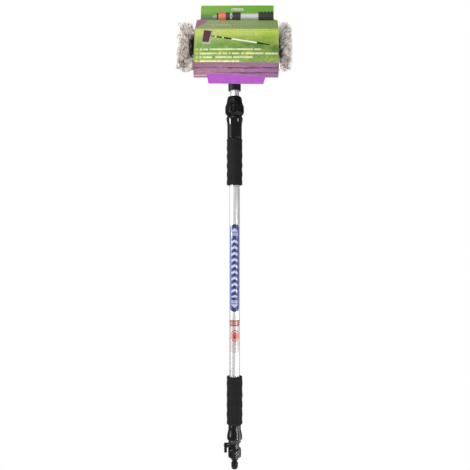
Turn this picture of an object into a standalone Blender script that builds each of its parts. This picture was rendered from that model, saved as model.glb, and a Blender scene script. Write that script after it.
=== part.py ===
"""Telescopic water-fed wash brush, in its retail card sleeve.

Frame: +Z up along the pole, the bristles towards -Y, the origin on the pole's axis halfway up the lower
grip, where a hand holds it. Heights and radii below are in millimetres, and heights are measured
from the end of the hose nipple: the empty hose_end carries them down to the frame's origin.
"""

import math

import bmesh
import bpy

MM = 0.001
GAP = 0.3  # between pieces that touch
SHARP = math.radians(35)

# Pole
POLE_R, POLE_BORE_R = 12.5, 11.3
INNER_R, INNER_BORE_R = 11.0, 9.9
POLE_SIDES, SMALL_SIDES, SCREW_SIDES = 32, 24, 12

# Heights up the pole, from the end of the hose nipple
NUT_BOTTOM, NUT_TOP = 28.2, 49.0
STEM_HEIGHT = 56.3
CAP_BOTTOM, CAP_TOP = 61.3, 106.7
LOWER_GRIP = (107.0, 222.0)
LABEL = (378.0, 586.0)
MARKER = (280.0, 358.0)
UPPER_GRIP = (679.2, 791.6)
COLLET_BOTTOM, COLLET_TOP = 791.9, 868.0
COLLAR_BOTTOM, COLLAR_TOP = 844.9, 894.0
NECK_BOTTOM = 906.0
HOLD_HEIGHT = 166.3

GRIP_R = 18.6
LABEL_THICKNESS = 0.3
LABEL_ARC = math.radians(122)
MARKER_ARC = math.radians(130)

# Valve, in the lever's own frame: distances out along the stem
BALL_R, BALL_BORE_R = 7.2, 4.2
SHOULDER_END, BOSS_END = 14.6, 18.2
LEVER_INNER, LEVER_OUTER = 18.7, 24.7

# Head, in its own tilted frame: x across, -y along the bristles, z up the face
HEAD_CENTRE = (0.0, -15.0, 972.0)
HEAD_TILT = math.radians(20)
BLOCK_HALF = (97.0, 33.0)
BLOCK_FRONT, BLOCK_BACK = 12.0, -8.7
COVER_THICKNESS = 3.0
CORNER_R = 14.0
CHAMBER_HALF = (84.0, 21.0)
BRISTLE_TIP = 60.8
SCREW_AT = (90.5, 26.5)

# Card sleeve
CARD_THICKNESS = 0.8
CARD_FRONT = 62.0
CARD_HALF_WIDTH, HEADER_HALF_WIDTH = 96.5, 87.0
HEADER_BOTTOM, HEADER_TOP, HEADER_Y = 1074.0, 1109.0, -5.0
FLAP_BOTTOM, FLAP_Y = 919.0, -19.0
FLAP_HALF_WIDTHS = (69.0, 65.0)
CARD_SHIFT, CARD_LEAN = 3.0, 0.02
SLOT_HALF_LENGTH, SLOT_HALF_HEIGHT, SLOT_HEIGHT = 14.5, 3.3, 1099.0

BLACK = (0.012, 0.012, 0.013)


def clear_scene():
    for obj in list(bpy.data.objects):
        bpy.data.objects.remove(obj)


def collection(name):
    made = bpy.data.collections.new(name)
    bpy.context.scene.collection.children.link(made)
    return made


clear_scene()
PARTS = collection("wash_brush")
CUTTERS = collection("cutters")


def material(name, colour, roughness, metallic=0.0):
    made = bpy.data.materials.new(name)
    made.use_nodes = True
    shader = made.node_tree.nodes["Principled BSDF"]
    shader.inputs["Base Color"].default_value = (*colour, 1.0)
    shader.inputs["Roughness"].default_value = roughness
    shader.inputs["Metallic"].default_value = metallic
    return made


def place(name, data, surface, parent):
    """A node, or with no surface a cutter that only shapes other pieces."""
    obj = bpy.data.objects.new(name, data)
    obj.parent = parent
    if surface:
        data.materials.append(surface)
        PARTS.objects.link(obj)
    else:
        obj.hide_render = True
        obj.display_type = "WIRE"
        CUTTERS.objects.link(obj)
    return obj


def empty(name, location, rotation=(0, 0, 0), parent=None):
    obj = bpy.data.objects.new(name, None)
    obj.location = [value * MM for value in location]
    obj.rotation_euler = rotation
    obj.parent = parent
    PARTS.objects.link(obj)
    return obj


def turned(name, outer, inner, surface, parent, sides=SMALL_SIDES):
    """A turned piece: the outer side runs down, then the inner side, if it is hollow, runs up."""
    profile = outer + inner
    mesh = bpy.data.meshes.new(name)
    count = len(profile)
    ends = [(i, (i + 1) % count) for i in range(count if inner else count - 1)]
    mesh.from_pydata([(r * MM, 0, z * MM) for r, z in profile], ends, [])
    obj = place(name, mesh, surface, parent)
    screw = obj.modifiers.new("turn", "SCREW")
    screw.axis = "Z"
    screw.steps = screw.render_steps = sides
    screw.use_merge_vertices = True
    screw.merge_threshold = 0.00001
    return obj


def from_bmesh(name, bm, surface, parent):
    mesh = bpy.data.meshes.new(name)
    bm.to_mesh(mesh)
    bm.free()
    return place(name, mesh, surface, parent)


def cylinder(name, radius, low, high, surface, parent, sides=SMALL_SIDES, at=(0, 0)):
    """Along the parent's Z, from low to high."""
    bm = bmesh.new()
    depth = (high - low) * MM
    r = radius * MM
    bmesh.ops.create_cone(bm, cap_ends=True, segments=sides, radius1=r, radius2=r, depth=depth)
    middle = (at[0] * MM, at[1] * MM, (low + high) / 2 * MM)
    bmesh.ops.translate(bm, verts=bm.verts, vec=middle)
    return from_bmesh(name, bm, surface, parent)


def box(name, low, high, surface, parent):
    bm = bmesh.new()
    bmesh.ops.create_cube(bm, size=1)
    bmesh.ops.scale(bm, verts=bm.verts, vec=[(b - a) * MM for a, b in zip(low, high)])
    middle = [(a + b) / 2 * MM for a, b in zip(low, high)]
    bmesh.ops.translate(bm, verts=bm.verts, vec=middle)
    return from_bmesh(name, bm, surface, parent)


def slab(name, half, y_low, y_high, corner, surface, parent):
    """A plate in the XZ plane with rounded corners."""
    obj = box(name, (-half[0], y_low, -half[1]), (half[0], y_high, half[1]), surface, parent)
    bm = bmesh.new()
    bm.from_mesh(obj.data)
    uprights = [e for e in bm.edges if abs(e.verts[0].co.y - e.verts[1].co.y) > MM]
    bmesh.ops.bevel(bm, geom=uprights, offset=corner * MM, segments=4, profile=0.5, affect="EDGES")
    bm.to_mesh(obj.data)
    bm.free()
    return obj


def ring(name, middle_r, wire_r, height, surface, parent, sides=SMALL_SIDES):
    """A rubber ring of round section."""
    bpy.ops.mesh.primitive_torus_add(
        major_segments=sides,
        minor_segments=6,
        major_radius=middle_r * MM,
        minor_radius=wire_r * MM,
    )
    made = bpy.context.object
    mesh = made.data
    bpy.data.objects.remove(made)
    obj = place(name, mesh, surface, parent)
    obj.location.z = height * MM
    return obj


def washer(name, outer_r, inner_r, low, high, surface, parent):
    outer = [(outer_r, high), (outer_r, low)]
    inner = [(inner_r, low), (inner_r, high)]
    return turned(name, outer, inner, surface, parent)


def shape(obj, cutter, operation="DIFFERENCE"):
    modifier = obj.modifiers.new(cutter.name, "BOOLEAN")
    modifier.solver = "EXACT"
    modifier.operation = operation
    modifier.object = cutter


def mesh_of(obj):
    """The mesh that an object's modifiers or curve make, its loose caps welded."""
    bpy.context.view_layer.update()
    graph = bpy.context.evaluated_depsgraph_get()
    mesh = bpy.data.meshes.new_from_object(obj.evaluated_get(graph))
    bm = bmesh.new()
    bm.from_mesh(mesh)
    bmesh.ops.remove_doubles(bm, verts=bm.verts, dist=0.000001)
    bm.to_mesh(mesh)
    bm.free()
    return mesh


def rounded(corners, steps=5):
    """The points of an outline whose corners are (x, y, radius), each turned into an arc."""
    points = []
    for i, (x, y, radius) in enumerate(corners):
        before, after = corners[i - 1], corners[(i + 1) % len(corners)]
        if not radius:
            points.append((x, y))
            continue
        to_before = math.atan2(before[1] - y, before[0] - x)
        to_after = math.atan2(after[1] - y, after[0] - x)
        turn = (to_after - to_before + math.pi) % (2 * math.pi) - math.pi
        bisector = to_before + turn / 2
        reach = radius / math.sin(abs(turn) / 2)
        centre = (x + reach * math.cos(bisector), y + reach * math.sin(bisector))
        sweep = (math.pi - abs(turn)) * math.copysign(1, turn)
        middle = bisector + math.pi
        for step in range(steps + 1):
            angle = middle + sweep * (0.5 - step / steps)
            points.append((centre[0] + radius * math.cos(angle), centre[1] + radius * math.sin(angle)))
    return points


def prism(name, outline, half_depth, surface, parent, rotation=(0, 0, 0)):
    """A flat outline made into a plate of twice half_depth."""
    curve = bpy.data.curves.new(name, "CURVE")
    curve.dimensions = "2D"
    curve.fill_mode = "BOTH"
    curve.extrude = half_depth * MM
    spline = curve.splines.new("POLY")
    spline.points.add(len(outline) - 1)
    for point, (x, y) in zip(spline.points, outline):
        point.co = (x * MM, y * MM, 0, 1)
    spline.use_cyclic_u = True
    flat = bpy.data.objects.new(name + "_outline", curve)
    CUTTERS.objects.link(flat)
    mesh = mesh_of(flat)
    bpy.data.objects.remove(flat)
    obj = place(name, mesh, surface, parent)
    obj.rotation_euler = rotation
    return obj


def loft(name, loops, solid, surface, parent):
    """Loops of equal count joined in turn: a solid one is capped, and any other joins its last to its first."""
    mesh = bpy.data.meshes.new(name)
    count = len(loops[0])
    last = len(loops) - 1
    pairs = [(k, k + 1) for k in range(last)] + ([] if solid else [(last, 0)])
    faces = [
        (a * count + i, a * count + (i + 1) % count, b * count + (i + 1) % count, b * count + i)
        for a, b in pairs
        for i in range(count)
    ]
    if solid:
        faces += [tuple(range(count)), tuple(last * count + i for i in range(count))]
    points = [tuple(value * MM for value in point) for loop in loops for point in loop]
    mesh.from_pydata(points, [], faces)
    bm = bmesh.new()
    bm.from_mesh(mesh)
    bmesh.ops.recalc_face_normals(bm, faces=bm.faces)
    bm.to_mesh(mesh)
    bm.free()
    return place(name, mesh, surface, parent)


HOSE_END = empty("hose_end", (0, 0, -HOLD_HEIGHT))
INNER_POLE = empty("inner_pole", (0, 0, 0), parent=HOSE_END)
LEVER_AXIS = empty("lever_axis", (0, 0, STEM_HEIGHT), (0, -math.pi / 2, 0), HOSE_END)
HEAD = empty("head", HEAD_CENTRE, (-HEAD_TILT, 0, 0), INNER_POLE)

ALUMINIUM = material("brushed_aluminium", (0.72, 0.72, 0.74), 0.32, 1.0)
FOAM = material("black_foam", BLACK, 0.95)
GLOSS_BLACK = material("gloss_black_plastic", BLACK, 0.18)
SATIN_BLACK = material("satin_black_plastic", (0.018, 0.018, 0.019), 0.42)
RUBBER = material("black_rubber", (0.02, 0.02, 0.02), 0.7)
SEAT_PLASTIC = material("white_seat_plastic", (0.8, 0.8, 0.78), 0.4)
STEEL = material("screw_steel", (0.6, 0.6, 0.6), 0.3, 1.0)
CHROME = material("chromed_ball", (0.8, 0.8, 0.82), 0.08, 1.0)
HEAD_BLACK = material("head_black_plastic", (0.02, 0.02, 0.021), 0.5)
LIGHT_BRISTLE = material("light_bristle", (0.55, 0.50, 0.45), 0.8)
DARK_BRISTLE = material("dark_bristle", (0.05, 0.04, 0.04), 0.8)
LABEL_BLUE = material("label_blue", (0.03, 0.10, 0.42), 0.35)
MARKER_RED = material("marker_red", (0.75, 0.12, 0.08), 0.35)
CARD = material("printed_card", (0.28, 0.42, 0.08), 0.45)


# Outer pole


def outer_tube():
    outer = [(POLE_R, 858.0), (POLE_R, 82.0)]
    inner = [(POLE_BORE_R, 82.0), (POLE_BORE_R, 858.0)]
    turned("outer_tube", outer, inner, ALUMINIUM, HOSE_END, POLE_SIDES)


def foam_grip(name, low, high):
    rim = 2.5
    outer = [(GRIP_R - rim, high), (GRIP_R, high - rim), (GRIP_R, low + rim), (GRIP_R - rim, low)]
    inner = [(POLE_R + GAP, low), (POLE_R + GAP, high)]
    turned(name, outer, inner, FOAM, HOSE_END, POLE_SIDES)


def wrapped_label(name, span, arc, corner, surface):
    """A thin sheet round the front of the outer tube, its corners rounded."""
    low, high = span
    middle = (low + high) / 2
    radius = POLE_R + GAP
    strip = bpy.data.meshes.new(name)
    start = -math.pi / 2 - arc / 2
    ends = [(radius * math.cos(start) * MM, radius * math.sin(start) * MM, z * MM) for z in (high, low)]
    strip.from_pydata(ends, [(0, 1)], [])
    obj = place(name, strip, surface, HOSE_END)
    screw = obj.modifiers.new("turn", "SCREW")
    screw.axis = "Z"
    screw.angle = arc
    screw.steps = screw.render_steps = 12
    thicken = obj.modifiers.new("thickness", "SOLIDIFY")
    thicken.thickness = LABEL_THICKNESS * MM
    thicken.offset = 1.0
    half = radius * math.sin(arc / 2) + 1
    reach = (high - low) / 2
    corners = [(-half, -reach), (half, -reach), (half, reach), (-half, reach)]
    outline = rounded([(x, y, corner) for x, y in corners])
    window = prism(name + "_window", outline, 2 * POLE_R, None, HOSE_END, (math.pi / 2, 0, 0))
    window.location = (0, 0, middle * MM)
    shape(obj, window, "INTERSECT")


# Twist lock


def collet_body():
    """The gloss sleeve on the outer tube: its upper end, inside the collar, carries the thread."""
    outer = [
        (15.4, COLLET_TOP),
        (16.0, COLLET_TOP - 1.0),
        (16.0, 844.0),
        (18.6, 844.0),
        (19.8, 841.0),
        (19.7, 836.0),
        (18.2, 830.0),
        (17.6, 825.0),
        (17.6, COLLET_BOTTOM + 1.0),
        (16.8, COLLET_BOTTOM),
    ]
    inner = [
        (POLE_R + GAP, COLLET_BOTTOM),
        (POLE_R + GAP, 858.0 + GAP),
        (POLE_BORE_R, 858.0 + GAP),
        (POLE_BORE_R, 861.0),
        (13.4, 861.0),
        (13.4, 864.2),
        (POLE_BORE_R, 864.2),
        (POLE_BORE_R, COLLET_TOP),
    ]
    turned("collet_body", outer, inner, GLOSS_BLACK, HOSE_END, POLE_SIDES)
    ring("packing_seal", 12.3, 0.85, 862.6, RUBBER, HOSE_END, POLE_SIDES)


def clamp_ring():
    """The split ring that the collar squeezes onto the inner tube."""
    outer = [(13.1, 884.0), (15.2, 868.8)]
    inner = [(POLE_BORE_R, 868.8), (POLE_BORE_R, 884.0)]
    obj = turned("clamp_ring", outer, inner, SEAT_PLASTIC, HOSE_END, POLE_SIDES)
    slit = box("clamp_slit", (-1.5, 5, 860), (1.5, 20, 890), None, HOSE_END)
    shape(obj, slit)


def lock_collar():
    outer = [
        (13.8, COLLAR_TOP),
        (15.6, COLLAR_TOP - 0.8),
        (16.6, COLLAR_TOP - 3.0),
        (18.6, 878.5),
        (20.2, 873.0),
        (22.0, 868.8),
        (22.3, 866.5),
        (22.3, 853.0),
        (21.4, 850.4),
        (17.6, COLLAR_BOTTOM),
    ]
    inner = [
        (16.4, COLLAR_BOTTOM),
        (16.4, 868.3),
        (15.7, 869.0),
        (13.6, 884.8),
        (11.5, 886.0),
        (11.5, COLLAR_TOP),
    ]
    turned("lock_collar", outer, inner, SATIN_BLACK, HOSE_END, POLE_SIDES)


# Inner pole


def inner_tube():
    outer = [(INNER_R, 934.0), (INNER_R, 190.0)]
    inner = [(INNER_BORE_R, 190.0), (INNER_BORE_R, 934.0)]
    obj = turned("inner_tube", outer, inner, ALUMINIUM, INNER_POLE, POLE_SIDES)
    shape(obj, NECK_SCREW_HOLE)
    washer("neck_seal", 10.9, 8.4, 934.3, 936.0, RUBBER, INNER_POLE)


def bottom_plug():
    """The water way's lower end, with the groove of the seal that slides in the outer tube."""
    outer = [
        (9.6, 202.0),
        (9.6, 189.7),
        (10.9, 189.7),
        (10.9, 184.5),
        (9.0, 184.5),
        (9.0, 181.3),
        (10.9, 181.3),
        (10.9, 176.8),
        (10.1, 176.0),
    ]
    inner = [(6.5, 176.0), (6.5, 202.0)]
    turned("bottom_plug", outer, inner, SATIN_BLACK, INNER_POLE)
    ring("piston_seal", 10.2, 0.9, 182.9, RUBBER, INNER_POLE)


# Valve and hose nipple


def valve_cap():
    outer = [
        (14.3, CAP_TOP),
        (15.0, CAP_TOP - 0.8),
        (15.0, 93.0),
        (15.8, 86.0),
        (18.0, 80.0),
        (18.3, 76.5),
        (18.1, 72.0),
        (15.8, 69.0),
        (15.1, 66.0),
        (14.8, 63.6),
        (12.4, CAP_BOTTOM),
    ]
    inner = [
        (11.0 + GAP, CAP_BOTTOM),
        (11.0 + GAP, 76.0),
        (6.0, 76.0),
        (6.0, 79.7),
        (POLE_R + GAP, 79.7),
        (POLE_R + GAP, CAP_TOP),
    ]
    obj = turned("valve_cap", outer, inner, GLOSS_BLACK, HOSE_END, POLE_SIDES)
    shape(obj, box("lever_notch", (-25, -12, 55), (-SHOULDER_END, 12, 69.7), None, HOSE_END))
    shape(obj, box("shoulder_notch", (-25, -7.5, 55), (-8, 7.5, 63.6), None, HOSE_END))
    washer("tube_seal", 12.4, 10.4, 80.0, 81.7, RUBBER, HOSE_END)


def valve_body():
    outer = [(11.0, 75.7), (11.0, 48.7), (12.0, 48.7), (12.0, 38.9)]
    inner = [(8.3, 38.9), (8.3, 66.8), (5.0, 66.8), (5.0, 75.7)]
    obj = turned("valve_body", outer, inner, GLOSS_BLACK, HOSE_END)
    shape(obj, cylinder("stem_shoulder", 6.9, 9.2, SHOULDER_END, None, LEVER_AXIS, 20), "UNION")
    shape(obj, cylinder("stem_boss", 6.0, 9.2, BOSS_END, None, LEVER_AXIS, 20), "UNION")
    shape(obj, cylinder("stem_bore", 3.3, 6.0, 22.0, None, LEVER_AXIS, 20))
    seat = (8.0, 4.8)
    near, far = 5.9, 10.2
    washer("upper_ball_seat", *seat, STEM_HEIGHT + near, STEM_HEIGHT + far, SEAT_PLASTIC, HOSE_END)
    washer("lower_ball_seat", *seat, STEM_HEIGHT - far, STEM_HEIGHT - near, SEAT_PLASTIC, HOSE_END)
    washer("seat_retainer", 8.0, 5.2, 39.2, STEM_HEIGHT - far - GAP, SATIN_BLACK, HOSE_END)


def valve_ball():
    bm = bmesh.new()
    bmesh.ops.create_uvsphere(bm, u_segments=20, v_segments=12, radius=BALL_R * MM)
    obj = from_bmesh("valve_ball", bm, CHROME, LEVER_AXIS)
    bore = cylinder("ball_bore", BALL_BORE_R, -10, 10, None, LEVER_AXIS, 20)
    bore.rotation_euler = (0, math.pi / 2, 0)
    shape(obj, bore)
    shape(obj, box("ball_slot", (-8, -1.0, 5.2), (8, 1.0, 9), None, LEVER_AXIS))


def valve_stem():
    outer = [
        (2.2, 22.4),
        (2.2, LEVER_INNER),
        (3.0, LEVER_INNER),
        (3.0, 14.6),
        (1.9, 14.6),
        (1.9, 12.2),
        (3.0, 12.2),
        (3.0, 7.6),
    ]
    inner = [(0.0, 7.6), (0.0, 17.0), (1.45, 17.0), (1.45, 22.4)]
    obj = turned("valve_stem", outer, inner, CHROME, LEVER_AXIS, 16)
    tongue = box("stem_tongue", (-2.2, -0.7, 5.6), (2.2, 0.7, 8.4), None, LEVER_AXIS)
    shape(obj, tongue, "UNION")
    ring("stem_o_ring", 2.65, 0.5, 13.4, RUBBER, LEVER_AXIS, 16)


def valve_lever():
    """A teardrop bar on the stem's outer end, its point hanging down the pole."""
    hub, point = (5.8, 5.4), (-17.9, 3.6)
    outline = rounded(
        [
            (hub[0], -hub[1], 4.8),
            (hub[0], hub[1], 4.8),
            (point[0], point[1], 3.2),
            (point[0], -point[1], 3.2),
        ]
    )
    half = (LEVER_OUTER - LEVER_INNER) / 2
    obj = prism("valve_lever", outline, half, SATIN_BLACK, LEVER_AXIS)
    obj.location.z = (LEVER_INNER + LEVER_OUTER) / 2 * MM + GAP * MM
    shape(obj, cylinder("stem_socket", 2.6, 18.0, 22.8, None, LEVER_AXIS, 16))
    shape(obj, cylinder("lever_screw_hole", 1.6, 18.0, 30.0, None, LEVER_AXIS, 16))
    head = [(1.2, 26.8), (2.6, 26.3), (2.8, LEVER_OUTER + 2 * GAP)]
    shank = [(1.15, LEVER_OUTER + 2 * GAP), (1.15, 17.6), (0.0, 17.6)]
    turned("lever_screw", [(0.0, 26.8), *head, *shank], [], STEEL, LEVER_AXIS, SCREW_SIDES)


def end_nut():
    outer = [(14.9, NUT_TOP), (15.5, NUT_TOP - 0.8), (15.5, 30.0), (14.0, NUT_BOTTOM)]
    inner = [(9.1, NUT_BOTTOM), (9.1, 33.0), (12.3, 33.0), (12.3, NUT_TOP)]
    turned("end_nut", outer, inner, GLOSS_BLACK, HOSE_END, POLE_SIDES)


def hose_nipple():
    """A garden-hose plug: round nose with its seal ring, a locking waist, a collar and a flange."""
    outer = [
        (11.8, 36.3),
        (11.8, 33.3),
        (8.75, 33.3),
        (8.75, 24.6),
        (8.2, 22.2),
        (6.1, 19.8),
        (6.1, 16.6),
        (7.9, 15.0),
        (8.2, 13.4),
        (8.0, 8.3),
        (5.9, 8.3),
        (5.9, 4.7),
        (7.9, 4.7),
        (7.3, 1.9),
        (6.2, 0.0),
    ]
    inner = [(4.5, 0.0), (4.5, 36.3)]
    turned("hose_nipple", outer, inner, SATIN_BLACK, HOSE_END)
    ring("nipple_o_ring", 7.25, 1.05, 6.5, RUBBER, HOSE_END)
    washer("nipple_washer", 11.4, 5.2, 36.6, 38.6, RUBBER, HOSE_END)


# Head


def head_block():
    """A deep tray whose hollow carries the water to the outlets between the bristles."""
    obj = slab("head_block", BLOCK_HALF, -BLOCK_FRONT, -BLOCK_BACK, CORNER_R, HEAD_BLACK, HEAD)
    shape(obj, slab("water_chamber", CHAMBER_HALF, -8.0, 12.0, CORNER_R / 2, None, HEAD))
    for i, x in enumerate((-75, -45, -15, 15, 45, 75)):
        outlet = box(f"water_outlet_{i}", (x - 1.6, -14, -1.6), (x + 1.6, -6, 1.6), None, HEAD)
        shape(obj, outlet)
    for hole in SCREW_HOLES:
        shape(obj, hole)


def screw_places():
    return [(x * SCREW_AT[0], z * SCREW_AT[1]) for x in (-1, 1) for z in (-1, 1)]


def along_head(obj):
    """Turns a piece made along Z to run along the bristles, its top towards the back."""
    obj.rotation_euler = (-math.pi / 2, 0, 0)
    return obj


def cover_screw_holes():
    """Cutters shared by the block and the cover."""
    holes = []
    for i, (x, z) in enumerate(screw_places()):
        at = (x, -z)
        holes.append(along_head(cylinder(f"screw_hole_{i}", 1.8, -5, 14, None, HEAD, SCREW_SIDES, at)))
        holes.append(along_head(cylinder(f"screw_seat_{i}", 3.6, 10.2, 14, None, HEAD, SCREW_SIDES, at)))
    return holes


def cover_screws():
    for i, (x, z) in enumerate(screw_places()):
        head = [(0.0, 11.9), (2.6, 11.9), (3.2, 11.4), (3.2, 10.5)]
        shank = [(1.5, 10.5), (1.5, -4.5), (0.0, -4.5)]
        obj = turned(f"cover_screw_{i + 1}", head + shank, [], STEEL, HEAD, SCREW_SIDES)
        obj.location = (x * MM, 0, z * MM)
        along_head(obj)


def neck_screw():
    """Holds the inner tube in the neck, from the back."""
    middle = NECK_BOTTOM + 14
    hole = cylinder("neck_screw_hole", 1.8, 6, 20, None, INNER_POLE, SCREW_SIDES)
    head = [(0.0, 17.4), (2.4, 17.4), (3.1, 16.6), (3.1, 15.0 + GAP)]
    shank = [(1.5, 15.0 + GAP), (1.5, 9.0), (0.0, 9.0)]
    screw = turned("neck_screw", head + shank, [], STEEL, INNER_POLE, SCREW_SIDES)
    for obj in (hole, screw):
        obj.location.z = middle * MM
        along_head(obj)
    return hole


def head_cover():
    """The head's back plate and the neck that stands on it, which takes the inner tube."""
    top = 990.0
    outer = [
        (0.0, top),
        (7.0, top - 1.0),
        (12.0, top - 5.5),
        (15.0, top - 15.0),
        (15.0, NECK_BOTTOM + 0.8),
        (14.4, NECK_BOTTOM),
        (0.0, NECK_BOTTOM),
    ]
    obj = turned("head_cover", outer, [], HEAD_BLACK, INNER_POLE)
    front = -BLOCK_BACK + GAP
    shape(obj, box("neck_trim", (-40, -70, -90), (40, front + 0.5, 90), None, HEAD))
    plate = slab("cover_plate", BLOCK_HALF, front, front + COVER_THICKNESS, CORNER_R, None, HEAD)
    shape(obj, plate, "UNION")
    bore = [(8.0, 977.0), (8.0, 936.3), (POLE_BORE_R, 936.3), (POLE_BORE_R, 900.0), (0.0, 900.0)]
    shape(obj, turned("neck_bore", [(0.0, 977.0), *bore], [], None, INNER_POLE, POLE_SIDES))
    shape(obj, NECK_SCREW_HOLE)
    for hole in SCREW_HOLES:
        shape(obj, hole)


def quarter_to_loop(quarter, depth):
    """A loop round the head from the points of its upper right quarter, (x, z), at one depth."""
    right = quarter + [(x, -z) for x, z in reversed(quarter[:-1])]
    left = [(-x, z) for x, z in reversed(right[1:-1])]
    return [(x, -depth, z) for x, z in right + left]


def bristles():
    """The outer tufts flare past the sleeve's open ends, and the inner ones stand within them."""
    root = [(0, 30), (60, 30), (82, 30), (88, 30), (91, 28.5), (93, 26), (94, 22), (94.5, 12), (94.5, 0)]
    flare = [(0, 38), (60, 38), (93, 38), (101.5, 39), (106, 48), (111, 49.5), (116, 40), (114, 18), (112, 0)]
    tip = [(0, 42), (60, 42), (100, 42), (104, 43), (107, 61), (120, 64), (130, 52), (129, 20), (127, 0)]
    hole_root = [(0, 18), (50, 18), (70, 18), (77, 18), (81, 17), (83, 16), (84, 13), (85, 7), (85, 0)]
    hole_tip = [(x * 1.2, z * 1.6) for x, z in hole_root]
    start = BLOCK_FRONT + GAP
    middle = (start + BRISTLE_TIP) / 2
    loops = [
        quarter_to_loop(hole_root, start),
        quarter_to_loop(root, start),
        quarter_to_loop(flare, middle),
        quarter_to_loop(tip, BRISTLE_TIP),
        quarter_to_loop(hole_tip, BRISTLE_TIP),
    ]
    loft("outer_bristles", loops, False, LIGHT_BRISTLE, HEAD)
    inset = 1.0
    core = [
        [(max(x - inset, 0), max(z - inset, 0)) for x, z in outline] for outline in (hole_root, hole_tip)
    ]
    ends = [quarter_to_loop(core[0], start), quarter_to_loop(core[1], BRISTLE_TIP - 1)]
    loft("inner_bristles", ends, True, DARK_BRISTLE, HEAD)


def head_point(depth, height):
    """(y, z) up the pole of a place in the head's tilted frame."""
    y, z = HEAD_CENTRE[1:]
    cosine, sine = math.cos(HEAD_TILT), math.sin(HEAD_TILT)
    return (y - depth * cosine + height * sine, z + depth * sine + height * cosine)


def sleeve_middle(height):
    """The sleeve sits a little to one side and leans, so its middle moves with height."""
    return CARD_SHIFT + CARD_LEAN * (height - FLAP_BOTTOM)


def folded_sheet(name, folds, closed, surface):
    """Card bent along lines across the head, each fold's (y, z) and half its length."""
    points = [
        ((sleeve_middle(z) + side * half) * MM, y * MM, z * MM)
        for (y, z), half in folds
        for side in (-1, 1)
    ]
    count = len(folds)
    faces = [
        (2 * i, 2 * i + 1, 2 * ((i + 1) % count) + 1, 2 * ((i + 1) % count))
        for i in range(count if closed else count - 1)
    ]
    mesh = bpy.data.meshes.new(name)
    mesh.from_pydata(points, [], faces)
    obj = place(name, mesh, surface, INNER_POLE)
    thicken = obj.modifiers.new("thickness", "SOLIDIFY")
    thicken.thickness = CARD_THICKNESS * MM
    thicken.offset = 0
    thicken.use_even_offset = True
    return obj


def card_sleeve():
    """A sleeve folded round the head, open at both ends, with a hang tab on top and a flap below."""
    tab_foot = ((HEADER_Y, HEADER_BOTTOM), HEADER_HALF_WIDTH)
    tab_head = ((HEADER_Y, HEADER_TOP), HEADER_HALF_WIDTH)
    under_block = head_point(0, -38.5)
    below = [
        head_point(CARD_FRONT, 44),
        head_point(CARD_FRONT, -47),
        under_block,
        head_point(-14.2, -35),
        head_point(-14.2, 36),
    ]
    folds = [(fold, CARD_HALF_WIDTH) for fold in [tab_foot[0], *below]]
    obj = folded_sheet("card_sleeve", folds, True, CARD)
    flap_top, flap_end = FLAP_HALF_WIDTHS
    flap = [(under_block, flap_top), ((FLAP_Y, FLAP_BOTTOM), flap_end)]
    shape(obj, folded_sheet("hang_tab", [tab_head, tab_foot], False, None), "UNION")
    shape(obj, folded_sheet("front_flap", flap, False, None), "UNION")

    middle = sleeve_middle(SLOT_HEIGHT)
    corners = [(-1, -1), (1, -1), (1, 1), (-1, 1)]
    slot = [
        (middle + x * SLOT_HALF_LENGTH, SLOT_HEIGHT + z * SLOT_HALF_HEIGHT, SLOT_HALF_HEIGHT * 0.98)
        for x, z in corners
    ]
    upright = (math.pi / 2, 0, 0)
    shape(obj, prism("hang_slot", rounded(slot), 20, None, INNER_POLE, upright))
    shape(obj, cylinder("neck_hole", 17.0, 890, 996, None, INNER_POLE, POLE_SIDES))


def replace_modifiers_by_meshes():
    """Bakes each node's modifiers, shaded smooth with its creases sharp."""
    baked = {obj: mesh_of(obj) for obj in PARTS.objects if obj.type == "MESH"}
    for obj, mesh in baked.items():
        obj.modifiers.clear()
        mesh.name = obj.name
        obj.data = mesh
        mesh.shade_smooth()
        mesh.set_sharp_from_angle(angle=SHARP)


SCREW_HOLES = cover_screw_holes()
NECK_SCREW_HOLE = neck_screw()

outer_tube()
foam_grip("lower_grip", *LOWER_GRIP)
foam_grip("upper_grip", *UPPER_GRIP)
wrapped_label("pole_label", LABEL, LABEL_ARC, 9.5, LABEL_BLUE)
wrapped_label("marker_label", MARKER, MARKER_ARC, 1.5, MARKER_RED)
collet_body()
clamp_ring()
lock_collar()
inner_tube()
bottom_plug()
valve_cap()
valve_body()
valve_ball()
valve_stem()
valve_lever()
end_nut()
hose_nipple()
head_block()
head_cover()
cover_screws()
bristles()
card_sleeve()
replace_modifiers_by_meshes()
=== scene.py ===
"""Looks of the telescopic wash brush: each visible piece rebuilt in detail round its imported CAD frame."""

import math

import bmesh
import bpy
import numpy as np
from mathutils import Matrix, Vector


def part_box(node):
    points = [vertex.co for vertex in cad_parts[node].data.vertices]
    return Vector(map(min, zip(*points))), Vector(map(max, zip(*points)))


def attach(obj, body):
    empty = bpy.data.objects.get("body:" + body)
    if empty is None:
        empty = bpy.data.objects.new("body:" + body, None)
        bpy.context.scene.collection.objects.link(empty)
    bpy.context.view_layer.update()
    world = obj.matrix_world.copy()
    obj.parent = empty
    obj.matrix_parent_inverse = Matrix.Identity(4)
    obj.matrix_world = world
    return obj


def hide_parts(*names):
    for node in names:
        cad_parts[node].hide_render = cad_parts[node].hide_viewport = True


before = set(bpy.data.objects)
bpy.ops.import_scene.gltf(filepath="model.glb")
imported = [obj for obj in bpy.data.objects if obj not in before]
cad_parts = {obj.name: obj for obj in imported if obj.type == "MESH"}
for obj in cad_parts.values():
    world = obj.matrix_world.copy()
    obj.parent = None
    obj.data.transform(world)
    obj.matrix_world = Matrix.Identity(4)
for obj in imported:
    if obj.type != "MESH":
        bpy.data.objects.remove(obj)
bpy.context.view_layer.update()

# Lengths are in millimetres and heights are measured up from the end of the hose nipple, unless said.
MM = 0.001
HOSE_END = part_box("hose_nipple")[0].z
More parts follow.
